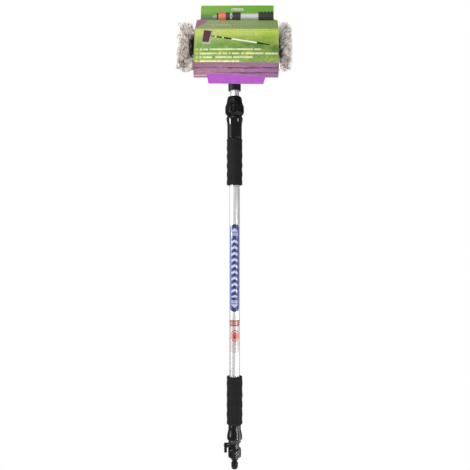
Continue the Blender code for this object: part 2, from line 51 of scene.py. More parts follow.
TO_HOSE_END = Matrix.Translation((0, 0, HOSE_END))
SHARP = math.radians(32)
FULL_TURN = 2 * math.pi

# The head's own frame: x across, height up its face, depth towards the bristles' tips
HEAD_Y, HEAD_HEIGHT = -15.0, 972.0
HEAD_TILT = math.radians(20)

POLE_R, POLE_BORE_R = 12.5, 11.3
INNER_R, INNER_BORE_R = 11.0, 9.9
LABEL_LENGTH = 208.0
CARD_THICKNESS = 0.45


def up(height):
    """A height as the frame's z."""
    return HOSE_END + height * MM


def heights(node):
    """How high a CAD node starts and ends."""
    return [(corner.z - HOSE_END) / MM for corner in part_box(node)]


def head_spot(depth, height):
    """A place in the head's tilted frame as (y, height above the hose end)."""
    cosine, sine = math.cos(HEAD_TILT), math.sin(HEAD_TILT)
    return (HEAD_Y - depth * cosine + height * sine, HEAD_HEIGHT + depth * sine + height * cosine)


# From (x, height, depth) in the head's frame to the frame
TO_HEAD = (
    Matrix.Translation((0, HEAD_Y * MM, up(HEAD_HEIGHT)))
    @ Matrix.Rotation(-HEAD_TILT, 4, "X")
    @ Matrix.Rotation(math.pi / 2, 4, "X")
)


def linear(colour):
    """Screen colour values from 0 to 255 as a linear colour."""
    return [v / 255 / 12.92 if v < 10.3 else ((v / 255 + 0.055) / 1.055) ** 2.4 for v in colour] + [1.0]


# Materials


class Value:
    """What a material works out at each point. Ordinary arithmetic on it adds the nodes."""

    def __init__(self, surface, socket):
        self.surface, self.socket = surface, socket

    def __abs__(self):
        return self.surface.math("ABSOLUTE", self)


def arithmetic(kind, swapped=False):
    """A method of Value that does one operation with another Value or a plain number."""

    def method(self, other):
        a, b = (other, self) if swapped else (self, other)
        return self.surface.math(kind, a, b)

    return method


OPERATORS = {"add": "ADD", "sub": "SUBTRACT", "mul": "MULTIPLY", "truediv": "DIVIDE", "mod": "MODULO"}
for sign, kind in OPERATORS.items():
    setattr(Value, f"__{sign}__", arithmetic(kind))
    setattr(Value, f"__r{sign}__", arithmetic(kind, True))
Value.__gt__, Value.min, Value.max = map(arithmetic, ("GREATER_THAN", "MINIMUM", "MAXIMUM"))


class Surface:
    """A node material built round one Principled shader."""

    def __init__(self, name, **sockets):
        self.material = bpy.data.materials.new(name)
        self.material.use_nodes = True
        self.tree = self.material.node_tree
        self.shader = self.tree.nodes["Principled BSDF"]
        self.normal = None
        for socket, value in sockets.items():
            self.set(socket.replace("_", " "), value)

    def set(self, socket, value):
        self.put(self.shader.inputs[socket], value)

    def put(self, socket, value):
        """Sets a socket. A colour is three screen values from 0 to 255, or four linear ones."""
        if isinstance(value, Value):
            self.tree.links.new(value.socket, socket)
        else:
            plain = socket.type != "RGBA" or len(value) == 4
            socket.default_value = value if plain else linear(value)

    def add(self, kind, inputs, output=0, **settings):
        """Adds a shader node and gives one of its outputs."""
        node = self.tree.nodes.new("ShaderNode" + kind)
        for key, value in settings.items():
            setattr(node, key, value)
        for key, value in inputs.items():
            self.put(node.inputs[key], value)
        return Value(self, node.outputs[output])

    def math(self, operation, a, b=0.0):
        return self.add("Math", {0: a, 1: b}, operation=operation)

    def vector(self, operation, inputs, output=0):
        return self.add("VectorMath", inputs, output, operation=operation)

    def place(self):
        return self.add("TexCoord", {}, "Object")

    def noise(self, size, detail=2.0, stretch=(1, 1, 1), vector=None):
        """Noise from 0 to 1 whose features are about this many millimetres."""
        if vector is None:
            vector = self.add("Mapping", {"Vector": self.place(), "Scale": stretch})
            size = size * MM
        return self.add("TexNoise", {"Vector": vector, "Scale": 1 / size, "Detail": detail}, "Fac")

    def cells(self, size):
        return self.add("TexVoronoi", {"Vector": self.place(), "Scale": 1 / (size * MM)}, "Distance")

    def span(self, factor, low, high, start=0.0, end=1.0):
        """Low where the factor is at start or before it, high from end on, and even between."""
        inputs = {"Value": factor, "From Min": start, "From Max": end, "To Min": low, "To Max": high}
        return self.add("MapRange", inputs)

    def mix(self, factor, a, b):
        return self.add("Mix", {0: factor, 6: a, 7: b}, 2, data_type="RGBA")

    def bump(self, height, distance, strength=1.0):
        inputs = {"Height": height, "Distance": distance * MM, "Strength": strength}
        if self.normal:
            inputs["Normal"] = self.normal
        self.normal = self.add("Bump", inputs)

    def made(self, colour, roughness, *bumps):
        """The material, with its colour, its roughness, and bumps as (height, distance, strength)."""
        self.set("Base Color", colour)
        self.set("Roughness", roughness)
        for bump in bumps:
            self.bump(*bump)
            self.set("Normal", self.normal)
        return self.material


def aluminium():
    """Drawn tube: fine lines along its length, and a satin anodised sheen."""
    s = Surface("brushed_aluminium", Metallic=0.6)
    lines = s.noise(0.35, 3, (1, 1, 0.012))
    patches = s.noise(22, 2, (1, 1, 0.25))
    colour = s.mix(s.span(lines, 0, 1, 0.3, 0.7), (209, 210, 212), (228, 228, 229))
    return s.made(colour, s.span(lines, 0.24, 0.36) + s.span(patches, -0.05, 0.05), (lines, 0.02, 0.5))


def foam():
    """Closed-cell foam: open pores at the skin, painted darker as shade in the pits, and a dusty sheen."""
    s = Surface("black_foam", Specular_IOR_Level=0.2)
    pores, fine = s.cells(0.75), s.noise(0.3, 3)
    skin = s.mix(s.noise(9, 3), (17, 17, 18), (27, 27, 28))
    # Painted shade: the pores are darker than the skin round them.
    colour = s.mix(s.span(pores, 0, 1, 0.05, 0.4), (9, 9, 9), skin)
    return s.made(colour, s.span(fine, 0.86, 0.98), (pores, 0.22, 0.7), (fine, 0.08, 0.6))


def moulded(name, colour, roughness, grain, depth, spread=0.05, **sockets):
    """Moulded plastic or rubber: faint colour drift, and a grain that the light picks up."""
    s = Surface(name, **sockets)
    lighter = [min(1.0, value * 1.5 + 0.002) for value in linear(colour)[:3]] + [1.0]
    colour = s.mix(s.span(s.noise(14, 3), 0, 1, 0.35, 0.7), colour, lighter)
    scuffs = s.span(s.noise(2.2, 4, (1, 1, 0.2)), roughness - spread, roughness + spread)
    return s.made(colour, scuffs, (s.noise(grain, 3), depth, 0.6))


def metal(name, colour, roughness):
    """Bare metal with a fine grain."""
    s = Surface(name, Metallic=1.0)
    grain = s.noise(0.4, 3)
    colour = s.mix(grain, [value * 0.9 for value in linear(colour)[:3]] + [1.0], colour)
    return s.made(colour, s.span(grain, roughness - 0.04, roughness + 0.08), (grain, 0.01, 0.4))


def bristle(name, dark, light, roughness=0.75):
    """Split plastic fibre: tone drifts along and between the strands, and painted shade darkens each strand
    towards the root, deep in the tuft.
    """
    s = Surface("bristle_" + name, Sheen_Weight=1.0, Sheen_Roughness=0.5, Specular_IOR_Level=0.3)
    fibres = s.noise(0.6, 2)
    tone = s.noise(4.5, 2) * 0.6 + fibres * 0.4
    axis = TO_HEAD.col[2].to_3d()
    depth = s.vector("DOT_PRODUCT", {0: s.place(), 1: axis}, "Value") - axis.dot(TO_HEAD.translation)
    colour = s.mix(s.span(tone, 0, 1, 0.36, 0.62), dark, light)
    # Painted shade: the strands go darker towards the root, where the tuft shades itself.
    colour = s.mix(s.span(depth, 0.85, 0, 12 * MM, 47 * MM), colour, (44, 38, 36))
    return s.made(colour, s.span(fibres, roughness - 0.1, roughness + 0.1), (fibres, 0.05, 0.5))


class Print(Surface):
    """A printed sheet: layers painted by masks on the sheet's own flat coordinates, in millimetres."""

    def __init__(self, name, colour, **sockets):
        super().__init__(name, **sockets)
        layout = self.add("UVMap", {}, uv_map="layout")
        self.flat = self.vector("SCALE", {0: layout, 3: 100.0})
        self.x, self.v = (self.add("SeparateXYZ", {0: self.flat}, axis) for axis in (0, 1))
        self.colour = colour

    def paint(self, mask, colour):
        self.colour = self.mix(mask, self.colour, colour)

    def film(self, *sheen):
        """The printed film, its roughness between two values and its face a little uneven."""
        sheen = self.span(self.noise(3, 3), *sheen)
        return self.made(self.colour, sheen, (self.noise(0.8, 3), 0.01, 0.4))

    def step(self, value, soft=0.35):
        """1 where the value is above 0, with an edge this many millimetres soft."""
        return self.span(value, 0.0, 1.0, -soft, soft)

    def rect(self, x, v, soft=0.35, at=None):
        """1 inside x = (low, high) and v = (low, high)."""
        px, pv = at or (self.x, self.v)
        return self.step((px - x[0]).min(x[1] - px).min(pv - v[0]).min(v[1] - pv), soft)

    def oval(self, centre, radii):
        """Above 0 inside an ellipse, in millimetres of its smaller radius."""
        a, b = (self.x - centre[0]) / radii[0], (self.v - centre[1]) / radii[1]
        return (1.0 - self.math("SQRT", a * a + b * b)) * min(radii)

    def along(self, start, end):
        """Coordinates along and across the line from start to end."""
        a, b = (np.subtract(end, start) / math.dist(start, end)).tolist()
        dx, dv = self.x - start[0], self.v - start[1]
        return dx * a + dv * b, dv * a - dx * b

    def dashes(self, pitch, gaps, row=0.0):
        """Short strokes of uneven length, so that a bar reads as a line of print and says nothing."""
        seeds = self.add("CombineXYZ", {0: self.math("FLOOR", self.x / pitch), 1: row})
        return self.add("TexWhiteNoise", {"Vector": seeds}, "Value") > gaps

    def tube(self, centre, reach, light, dark):
        """Light at the middle of a tube drawn across the sheet, and dark at its edges."""
        return self.mix(self.span(abs(self.v - centre), 0, 1, reach * 0.2, reach), light, dark)


def label_print():
    """Deep blue film with a white arrowhead and bars at each end and a run of chevrons between, and a painted
    highlight along its long edges.
    """
    s = Print("label_print", (36, 45, 96), Coat_Weight=0.2, Coat_Roughness=0.15)
    white = (170, 175, 202)
    side = abs(s.x)
    s.paint(s.span(s.noise(30, 2), 0, 0.5), (45, 55, 110))
    # Painted highlight: a paler band along both long edges of the film, where it turns round the pole.
    s.paint(s.step(side - 10.3, 0.3) * 0.5, (150, 160, 214))
    for end, sign in ((9.0, 1.0), (LABEL_LENGTH - 9.0, -1.0)):
        rise = (s.v - end) * sign
        s.paint(s.step((rise - side).min(8.5 - rise)), white)
        for bar in (11.0, 15.2):
            s.paint(s.rect((-8.2, 8.2), sorted((end + sign * bar, end + sign * (bar + 2.4)))), white)
    first, last, count = 31.0, LABEL_LENGTH - 31.0, 10
    pitch = (last - first) / count
    turn = (s.v + side * 0.55 - first) % pitch
    stroke = (turn - 3.0).min(pitch * 0.62 - turn)
    s.paint(s.step(stroke) * s.rect((-7.6, 7.6), (first + 3, last + 1)), white)
    return s.film(0.24, 0.38)


def marker_print():
    """Silvery film: a red bar, an oval badge with a drop, and faint grey rules."""
    s = Print("marker_print", (178, 171, 170), Metallic=0.4)
    s.paint(s.span(s.noise(12, 2), 0, 0.5), (190, 182, 181))
    s.paint(s.rect((-13.6, 13.6), (63.4, 77.4), 0.5), (128, 66, 64))
    s.paint(s.rect((-12.8, 12.8), (65.0, 75.8), 0.5), (148, 80, 78))
    for v in (68.2, 72.4):
        rule = s.rect((-11.4, 11.4), (v - 0.8, v + 0.8)) * s.dashes(1.7, 0.25, v)
        s.paint(rule * 0.7, (214, 182, 178))
    middle = 0.9
    badge = s.oval((middle, 40.5), (10.4, 13.8))
    s.paint(s.step(badge, 0.4), (158, 72, 70))
    s.paint(s.step(badge - 1.3, 0.4), (174, 90, 88))
    s.paint(s.step(0.8 - abs(badge - 2.7), 0.3), (222, 172, 168))
    rise = s.v - 37.0
    cone = (3.7 - rise * 0.36 - abs(s.x - middle)).min(rise.min(10.4 - rise))
    s.paint(s.step(s.oval((middle, 37.0), (3.8, 4.6)).max(cone), 0.3), (158, 70, 68))
    for v, tone in ((18.8, 160), (12.6, 200), (9.8, 160), (3.6, 200)):
        line = s.rect((-1.5, 11.4), (v, v + 1.7)) * s.dashes(1.3, 0.2, v)
        s.paint(line * 0.8, (tone, tone - 2, tone - 3))
    return s.film(0.3, 0.42)


# Where the card's printed picture changes, in millimetres down from the top of the hang tab
ROOF_TOP, FRONT_TOP, UNDERSIDE_TOP = 36.0, 99.5, 192.0


def card_print():
    """The sleeve's outer face, laid out from the top of the hang tab down."""
    s = Print("card_print", None, Specular_IOR_Level=0.25)
    leaves, broad, fine = (s.noise(*kind, vector=s.flat) for kind in ((6.5, 4), (30, 2), (1.8, 3)))
    across = s.span(s.x, 0, 1, -90, 90)

    # Hang tab: clear green, deeper to the right and below
    green = s.mix(across, (114, 160, 61), (100, 159, 54))
    green = s.mix(s.span(s.v, 0, 0.85, 14, 34), green, (74, 100, 64))
    # Roof: dull olive
    olive = s.mix(across, (182, 190, 140), (150, 177, 104))
    olive = s.mix(s.span(leaves, 0, 0.6, 0.4, 0.7), olive, (124, 150, 92))
    # Front: a garden out of focus, yellow at the top and darker down the right
    upper = s.mix(s.span(s.x, 0, 1, -40, 60), (190, 204, 104), (170, 196, 72))
    lower = s.mix(s.span(s.x, 0, 1, -60, 70), (116, 157, 80), (84, 123, 60))
    garden = s.mix(s.span(s.v, 0, 1, 112, 144), upper, lower)
    garden = s.mix(s.span(s.v, 0, 0.6, 158, 178), garden, (144, 174, 92))
    garden = s.mix(s.span(broad, 0, 0.55, 0.45, 0.75), garden, (196, 206, 92))
    shade = s.span(leaves, 0, 1, 0.5, 0.72) * s.span(s.v, 0.15, 0.75, 112, 188)
    garden = s.mix(shade, garden, (70, 104, 48))
    # Underside: lavender rows, dark between
    heath = s.mix(across, (152, 106, 132), (141, 95, 134))
    heath = s.mix(s.span(s.v, 0.6, 0, 200, 210), heath, (133, 106, 118))
    heath = s.mix(s.span(fine, 0, 0.5, 0.35, 0.75), heath, (122, 92, 104))

    s.colour = green
    s.paint(s.step(s.v - (ROOF_TOP - 1), 0.4), olive)
    s.paint(s.step(s.v - FRONT_TOP, 3.0), garden)
    ragged = s.span(fine, -7.0, 7.0, 0.3, 0.7) * s.span(s.x, 0.15, 1.0, -20, 60)
    s.paint(s.step(s.v + ragged - UNDERSIDE_TOP, 0.6), heath)
    print_heath(s)
    below = s.v - ROOF_TOP
    corner = (s.x * -1.0 - (below * 0.47 + 66.5)).min(below)
    s.paint(s.step(corner, 0.6) * s.span(s.v, 1, 0, 99, 101), (178, 122, 152))

    print_fittings(s)
    print_brush(s)
    print_rows(s)
    return s.made(s.colour, s.span(fine, 0.36, 0.5), (s.noise(0.5, 3), 0.015, 0.4))


def print_heath(s):
    """On the underside: two dark furrows between the lavender rows, and pale flecks to the left of them."""
    wave = s.span(s.noise(14, 3, vector=s.flat), -3, 3, 0.25, 0.75)
    blots = s.noise(5.0, 4, vector=s.vector("MULTIPLY", {0: s.flat, 1: (0.5, 2.0, 1.0)}))
    flecks = s.span(blots, 0, 1, 0.5, 0.64) * s.rect((-92, 20), (206, 243), 4)
    s.paint(flecks * 0.55, (196, 172, 120))
    for row, left in ((215.7, 0.35), (239.5, 0.0)):
        off = abs(s.v - row + wave)
        streak = s.span(off, 1.2, 0.0, 1.2, 5.0) * s.span(blots, 0.45, 1.4, 0.35, 0.6)
        streak = streak * s.span(s.x, left, 0.95, -60, 25)
        streak = streak + s.rect((-96, -84), (row - 3, row + 3), 1.5) * (left * 1.6)
        s.paint(streak.min(0.95), (66, 42, 52))
    glow = s.span(s.noise(26, 2, vector=s.flat), 0, 0.3, 0.4, 0.7) * (s.v > 206.0)
    s.paint(glow, (190, 124, 194))
    s.paint(s.rect((-110, -64), (250.6, 258), 1.2) * 0.75, (208, 180, 160))


def print_fittings(s):
    """On the hang tab: a hose, its coupling and the end of the pole, in a row."""
    s.paint(s.rect((-90, -58), (23.6, 30.4)) * 0.75, s.tube(26.5, 4.2, (98, 128, 92), (56, 78, 52)))
    cone = s.step(s.span(s.x, 2.2, 6.4, -59, -47) - abs(s.v - 26.5)) * s.rect((-59, -47.5), (10, 40))
    s.paint(cone, s.tube(25.5, 6.5, (150, 154, 150), (66, 68, 68)))
    for start, end, top, bottom, *look in (
        (-48.5, -44.5, 17.5, 35.0, 24.0, 10, (52, 34, 30), (52, 34, 30)),
        (-45.0, -27.0, 15.3, 36.5, 24.0, 10.5, (222, 136, 104), (176, 80, 52)),
        (-27.4, -19.0, 16.5, 36.0, 24.0, 10, (84, 66, 60), (34, 26, 24)),
        (-19.2, -10.0, 18.6, 34.5, 25.0, 9, (72, 70, 70), (36, 40, 34)),
        (-10.4, 8.4, 16.2, 36.0, 24.5, 10, (68, 62, 60), (32, 26, 26)),
        (8.4, 50.5, 18.6, 34.2, 24.5, 8.5, (210, 212, 206), (138, 142, 136)),
    ):
        s.paint(s.rect((start, end), (top, bottom)), s.tube(*look))
    ribs = s.math("SINE", s.x * 2.1) > 0.3
    s.paint(s.rect((-43.5, -28.5), (16, 36)) * ribs * 0.3, (170, 70, 46))
    s.paint(s.step(s.oval((-14.4, 25.0), (2.7, 6.4)), 0.4), (204, 218, 206))
    s.paint(s.step(s.oval((-14.0, 25.6), (1.3, 3.4)), 0.4), (72, 96, 60))
    wavy = (s.x, s.v + s.math("SINE", s.x * 0.78) * 1.3)
    s.paint(s.rect((50.5, 88.0), (15.2, 37.5), at=wavy), s.tube(23.5, 12, (62, 60, 54), (32, 29, 27)))


def print_brush(s):
    """On the front: the brush drawn small, its pole pulled out to the lower right."""
    along, across = s.along((-70.4, 143.6), (-64.7, 104.3))
    head = (along, across / s.span(along, 0.9, 1.12, 0, 39))
    tufts = s.math("SINE", along * 2.2) > 0.4
    s.paint(s.rect((0.0, 39.5), (-10.0, 10.5), 1.0, head), (176, 172, 160))
    s.paint(s.rect((5.5, 38.0), (-9.6, 6.4), 0.8, head), (88, 54, 60))
    s.paint(s.rect((6.5, 37.0), (-8.0, 5.4), 0.8, head) * tufts * 0.3, (44, 26, 34))
    pole = s.along((-56.7, 121.6), (76.2, 146.0))
    for start, end, half, colour in (
        (-2.0, 6.8, 1.5, (20, 18, 16)),
        (6.8, 46.0, 1.3, (228, 230, 206)),
        (10.5, 23.6, 2.1, (14, 16, 14)),
        (27.8, 45.8, 2.3, (14, 16, 14)),
        (45.8, 105.0, 1.9, (236, 242, 222)),
    ):
        s.paint(s.rect((start, end), (-half, half), 0.5, pole), colour)
    taper = s.span(pole[0], 2.6, 1.3, 105, 135) - abs(pole[1])
    s.paint(s.step(taper) * s.rect((104.5, 135), (-6, 6), 0.5, pole), (20, 30, 18))


def print_rows(s):
    """Rules that stand for lines of print, and a small block at the head of each of them."""
    pale = (208, 212, 158)
    for v, end in ((103.6, 71.7), (108.6, 92.0), (113.6, 60.3), (119.1, 53.5)):
        row = (v - 1.0, v + 1.0)
        s.paint(s.rect((-2.5, end), row) * s.dashes(1.7, 0.24, v) * 0.75, pale)
        s.paint(s.rect((-8.0, -5.2), row) * 0.8, pale)
    for v, end in ((158.5, 55.5), (169.4, 93.0), (179.4, 37.5), (189.6, 6.8)):
        letters = s.dashes(1.15, 0.22, v + 0.5) * 0.45 + 0.55
        words = s.dashes(3.4, 0.1, v) * s.rect((-83.0, end), (v - 2.3, v + 2.3), 0.9) * letters
        s.paint(words * 0.66, (250, 248, 190))
        s.paint(s.rect((-92.0, -86.6), (v - 2.2, v + 2.2), 0.6), (228, 196, 120))
    s.paint(s.rect((-62, -6), (66, 73)) * s.dashes(2.6, 0.35) * 0.55, (224, 228, 220))


def plain_card(name, colour, darker):
    """Coated board: a soft mottle and a fibre grain."""
    s = Surface(name, Specular_IOR_Level=0.25)
    colour = s.mix(s.span(s.noise(7, 3), 0, 1, 0.3, 0.8), colour, darker)
    return s.made(colour, s.span(s.noise(1.5, 3), 0.42, 0.58), (s.noise(0.4, 3), 0.015, 0.5))


# The material that stands for each slot of the record
FINISHES = {
    "brushed_aluminium": aluminium(),
    "foam": foam(),
    "gloss_plastic": moulded("gloss_plastic", (10, 10, 11), 0.11, 5.0, 0.01, 0.03, Specular_IOR_Level=0.45),
    "satin_plastic": moulded("satin_plastic", (8, 8, 9), 0.3, 0.5, 0.02, Specular_IOR_Level=0.15),
    "head_plastic": moulded("head_plastic", (14, 14, 15), 0.4, 0.6, 0.04, Specular_IOR_Level=0.3),
    "seal_rubber": moulded("seal_rubber", (30, 30, 30), 0.7, 0.4, 0.03),
    "seat_plastic": moulded("seat_plastic", (225, 225, 220), 0.42, 0.6, 0.02),
    "screw_steel": metal("screw_steel", (190, 190, 192), 0.3),
    "chromed_brass": metal("chromed_brass", (225, 225, 228), 0.1),
    "label_blue": label_print(),
    "marker_red": marker_print(),
    "printed_card": card_print(),
}
CARD_BACK = plain_card("card_back", (206, 204, 198), (184, 181, 174))
CARD_CORE = plain_card("card_core", (232, 230, 224), (214, 210, 202))
# Painted light: the slot's tongue is a paler green than the tab round it, to lift the shade it sits in.
LIT_TONGUE = plain_card("tongue_lit_print", (170, 200, 140), (196, 212, 176))
FLAP = plain_card("flap_print", (166, 85, 180), (158, 79, 172))


# Meshes


def linked(name, data):
    obj = bpy.data.objects.new(name, data)
    bpy.context.scene.collection.objects.link(obj)
    return obj


def piece(name, mesh, body, slot, replaces=(), surface=None):
    """A piece riding on a body. A mesh that has no material yet gets this surface, or the slot's own."""
    obj = linked(name, mesh)
    if not mesh.materials:
        mesh.materials.append(surface or FINISHES[slot])
    mesh.shade_smooth()
    mesh.set_sharp_from_angle(angle=SHARP)
    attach(obj, body)
    if replaces:
        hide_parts(*replaces)
    return obj


def fillet(corners, closed=True, steps=4):
    """The points of an outline whose corners are (x, y, radius), each turned into an arc."""
    points = []
    for i, (x, y, radius) in enumerate(corners):
        before, after = corners[i - 1], corners[(i + 1) % len(corners)]
        to_before = math.atan2(before[1] - y, before[0] - x)
        to_after = math.atan2(after[1] - y, after[0] - x)
        turn = (to_after - to_before + math.pi) % FULL_TURN - math.pi
        at_end = not closed and i in (0, len(corners) - 1)
        if not radius or at_end or abs(turn) > math.pi - 0.02:
            points.append((x, y))
            continue
        room = 0.49 * min(math.dist(before[:2], (x, y)), math.dist(after[:2], (x, y)))
        radius = min(radius, room * math.tan(abs(turn) / 2))
        bisector = to_before + turn / 2
        reach = radius / math.sin(abs(turn) / 2)
        centre = (x + reach * math.cos(bisector), y + reach * math.sin(bisector))
        sweep = (math.pi - abs(turn)) * math.copysign(1, turn)
        for step in range(steps + 1):
            angle = bisector + math.pi + sweep * (0.5 - step / steps)
            points.append((centre[0] + radius * math.cos(angle), centre[1] + radius * math.sin(angle)))
    return points


def split(outline, radius, step):
    """An outline whose points are at most a step apart wherever it lies outside a radius."""
    points = []
    for here, on in zip(outline, outline[1:] + outline[:1]):
        steps = int(math.dist(here, on) / step) + 1 if min(here[0], on[0]) > radius else 1
        points += [tuple(a + (b - a) * k / steps for a, b in zip(here, on)) for k in range(steps)]
    return points


def turned_mesh(name, profile, sides, warp=None, closed=True, matrix=TO_HOSE_END):
    """A profile of (radius, height) turned about Z. warp(angle, radius, height) gives a new radius."""
    outline = np.array(profile, float)
    count = len(outline)
    turn, r = np.meshgrid(np.arange(sides) * (FULL_TURN / sides), outline[:, 0], indexing="ij")
    z = np.broadcast_to(outline[:, 1], r.shape)
    if warp:
        r = warp(turn, r, z)
    points = np.stack([r * np.cos(turn), r * np.sin(turn), z], -1).reshape(-1, 3) * MM
    faces = []
    for side in range(sides):
        here, on = side * count, (side + 1) % sides * count
        for i in range(count if closed else count - 1):
            after = (i + 1) % count
            faces.append((here + i, on + i, on + after, here + after))
    mesh = bpy.data.meshes.new(name)
    mesh.from_pydata(points.tolist(), [], faces)
    mesh.transform(matrix)
    bm = bmesh.new()
    bm.from_mesh(mesh)
    bmesh.ops.remove_doubles(bm, verts=bm.verts, dist=1e-7)
    bmesh.ops.recalc_face_normals(bm, faces=bm.faces)
    bm.to_mesh(mesh)
    bm.free()
    return mesh


def plug_mesh(profile, sides, matrix=TO_HOSE_END):
    """A solid turned from a profile that starts and ends on the axis."""
    return turned_mesh("plug", profile, sides, closed=False, matrix=matrix)


def prism_mesh(outline, low, high, matrix, bevel=0.0, segments=2):
    """A flat outline in XY made into a plate from low to high, its rims rounded."""
    bm = bmesh.new()
    bm.faces.new([bm.verts.new((x * MM, y * MM, low * MM)) for x, y in outline])
    made = bmesh.ops.extrude_face_region(bm, geom=bm.faces[:])
    top = [v for v in made["geom"] if isinstance(v, bmesh.types.BMVert)]
    bmesh.ops.translate(bm, verts=top, vec=(0, 0, (high - low) * MM))
    bmesh.ops.recalc_face_normals(bm, faces=bm.faces)
    if bevel:
        rims = [e for e in bm.edges if abs(e.verts[0].co.z - e.verts[1].co.z) < 1e-9]
        bmesh.ops.bevel(
            bm, geom=rims, offset=bevel * MM, segments=segments, profile=0.5, affect="EDGES"
        )
    mesh = bpy.data.meshes.new("prism")
    bm.to_mesh(mesh)
    bm.free()
    mesh.transform(matrix)
    return mesh


def boolean(mesh, cutters, operation="DIFFERENCE"):
    """The mesh with others cut from it or joined to it."""
    obj = linked("work", mesh)
    tools = [linked("tool", cutter) for cutter in cutters]
    for tool in tools:
        modifier = obj.modifiers.new("cut", "BOOLEAN")
        modifier.solver, modifier.operation, modifier.object = "EXACT", operation, tool
    bpy.context.view_layer.update()
    graph = bpy.context.evaluated_depsgraph_get()
    made = bpy.data.meshes.new_from_object(obj.evaluated_get(graph))
    for used in [obj, *tools]:
        bpy.data.objects.remove(used)
    return made


def rectangle(half_x, half_y, radius, steps=5, centre=(0, 0)):
    corners = [(-1, -1), (1, -1), (1, 1), (-1, 1)]
    return fillet([(centre[0] + x * half_x, centre[1] + y * half_y, radius) for x, y in corners], steps=steps)


def sheet_mesh(layers, flats, surfaces=()):
    """A thin closed sheet between an outer and an inner grid of points, with each point's flat place.
    Its materials are for the outer face, the inner face and the cut edges."""
    count, columns = flats.shape[:2]
    total = count * columns
    faces, kinds = [], []

    def add(kind, face, flip=False):
        faces.append(face[::-1] if flip else face)
        kinds.append(kind)

    for j in range(count - 1):
        for a in range(j * columns, (j + 1) * columns - 1):
            add(0, (a, a + columns, a + columns + 1, a + 1))
            add(1, (total + a, total + a + 1, total + a + columns + 1, total + a + columns))
        for a, flip in ((j * columns, False), ((j + 1) * columns - 1, True)):
            add(2, (a, total + a, total + a + columns, a + columns), flip)
    for j, flip in ((0, True), (count - 1, False)):
        for a in range(j * columns, (j + 1) * columns - 1):
            add(2, (a, total + a, total + a + 1, a + 1), flip)
    mesh = bpy.data.meshes.new("sheet")
    mesh.from_pydata(np.reshape(layers, (-1, 3)).tolist(), [], faces)
    for surface in surfaces:
        mesh.materials.append(surface)
    if surfaces:
        mesh.polygons.foreach_set("material_index", kinds)
    corners = np.empty(len(mesh.loops), np.int32)
    mesh.loops.foreach_get("vertex_index", corners)
    flats = np.concatenate([flats.reshape(-1, 2)] * 2).astype(np.float32)
    mesh.uv_layers.new(name="layout").data.foreach_set("uv", flats[corners].ravel())
    return mesh


def turned(name, corners, sides, body, slot, node):
    piece(name, turned_mesh(name, fillet(corners), sides), body, slot, [node])


# Pole


def pole():
    for name, node, body, outer, bore, low, high in (
        ("pole_tube", "outer_tube", "outer_pole", POLE_R, POLE_BORE_R, 82, 858),
        ("extension_tube", "inner_tube", "inner_pole", INNER_R, INNER_BORE_R, 190, 934),
    ):
        tube = [(outer, high, 0.3), (outer, low, 0.3), (bore, low, 0.3), (bore, high, 0.3)]
        turned(name, tube, 96, body, "brushed_aluminium", node)


def foam_grip(name, node, pitch, phase, mean, seed):
    """A foam sleeve that swells and narrows along its length, its rims rolled in towards the pole."""
    low, high = heights(node)
    rng = np.random.default_rng(seed)
    inner, swell = POLE_R + 0.3, 0.36
    side = np.arange(low + 3.4, high - 3.3, 1.1)[::-1]
    rim = [(inner, 1.6), (inner + 1.2, 0.7), (inner + 2.4, 0.15), (mean - 2.6, 0.0)]
    rim += [(mean - 1.3, 0.35), (mean - 0.35, 1.2), (mean + 0.15, 2.3)]
    outline = [(r, high - drop) for r, drop in rim]
    outline += [(mean + swell * math.cos(FULL_TURN * (z - phase) / pitch), z) for z in side]
    outline += [(r, low + drop) for r, drop in reversed(rim)]
    lumps = [
        (rng.uniform(0, 6.3), rng.integers(1, 6), rng.uniform(9, 40), rng.uniform(0.02, 0.07))
        for _ in range(14)
    ]

    def warp(turn, r, z):
        outer = np.clip((r - inner - 2) / 2, 0, 1)
        return r + outer * sum(a * np.sin(n * turn + p + FULL_TURN * z / length) for p, n, length, a in lumps)

    grip = piece(name, turned_mesh(name, outline, 112, warp), "outer_pole", "foam", [node])


def wrapped_film(name, node, half_width, corner, thickness, slot):
    """A thin printed film round the front of the pole, its ends rounded."""
    low, high = heights(node)
    ends = [corner * (1 - math.cos(a)) for a in np.linspace(0.12, math.pi / 2, 12)]
    rows = {*[low + e for e in ends], *[high - e for e in ends], *np.arange(low + corner, high - corner, 8.0)}
    z = np.array(sorted(rows, reverse=True))[:, None]
    cut = np.clip(corner - np.minimum(z - low, high - z), 0, corner)
    arc = (half_width - corner + np.sqrt(corner**2 - cut**2)) * np.linspace(-1, 1, 17)
    angle = arc / POLE_R - math.pi / 2
    layers = [
        np.stack([r * MM * np.cos(angle), r * MM * np.sin(angle), up(z) + 0 * arc], -1)
        for r in (POLE_R + 0.05 + thickness, POLE_R + 0.05)
    ]
    flats = np.stack([arc, z - low + 0 * arc], -1) / 100
    piece(name, sheet_mesh(layers, flats), "outer_pole", slot, [node])


# Twist lock


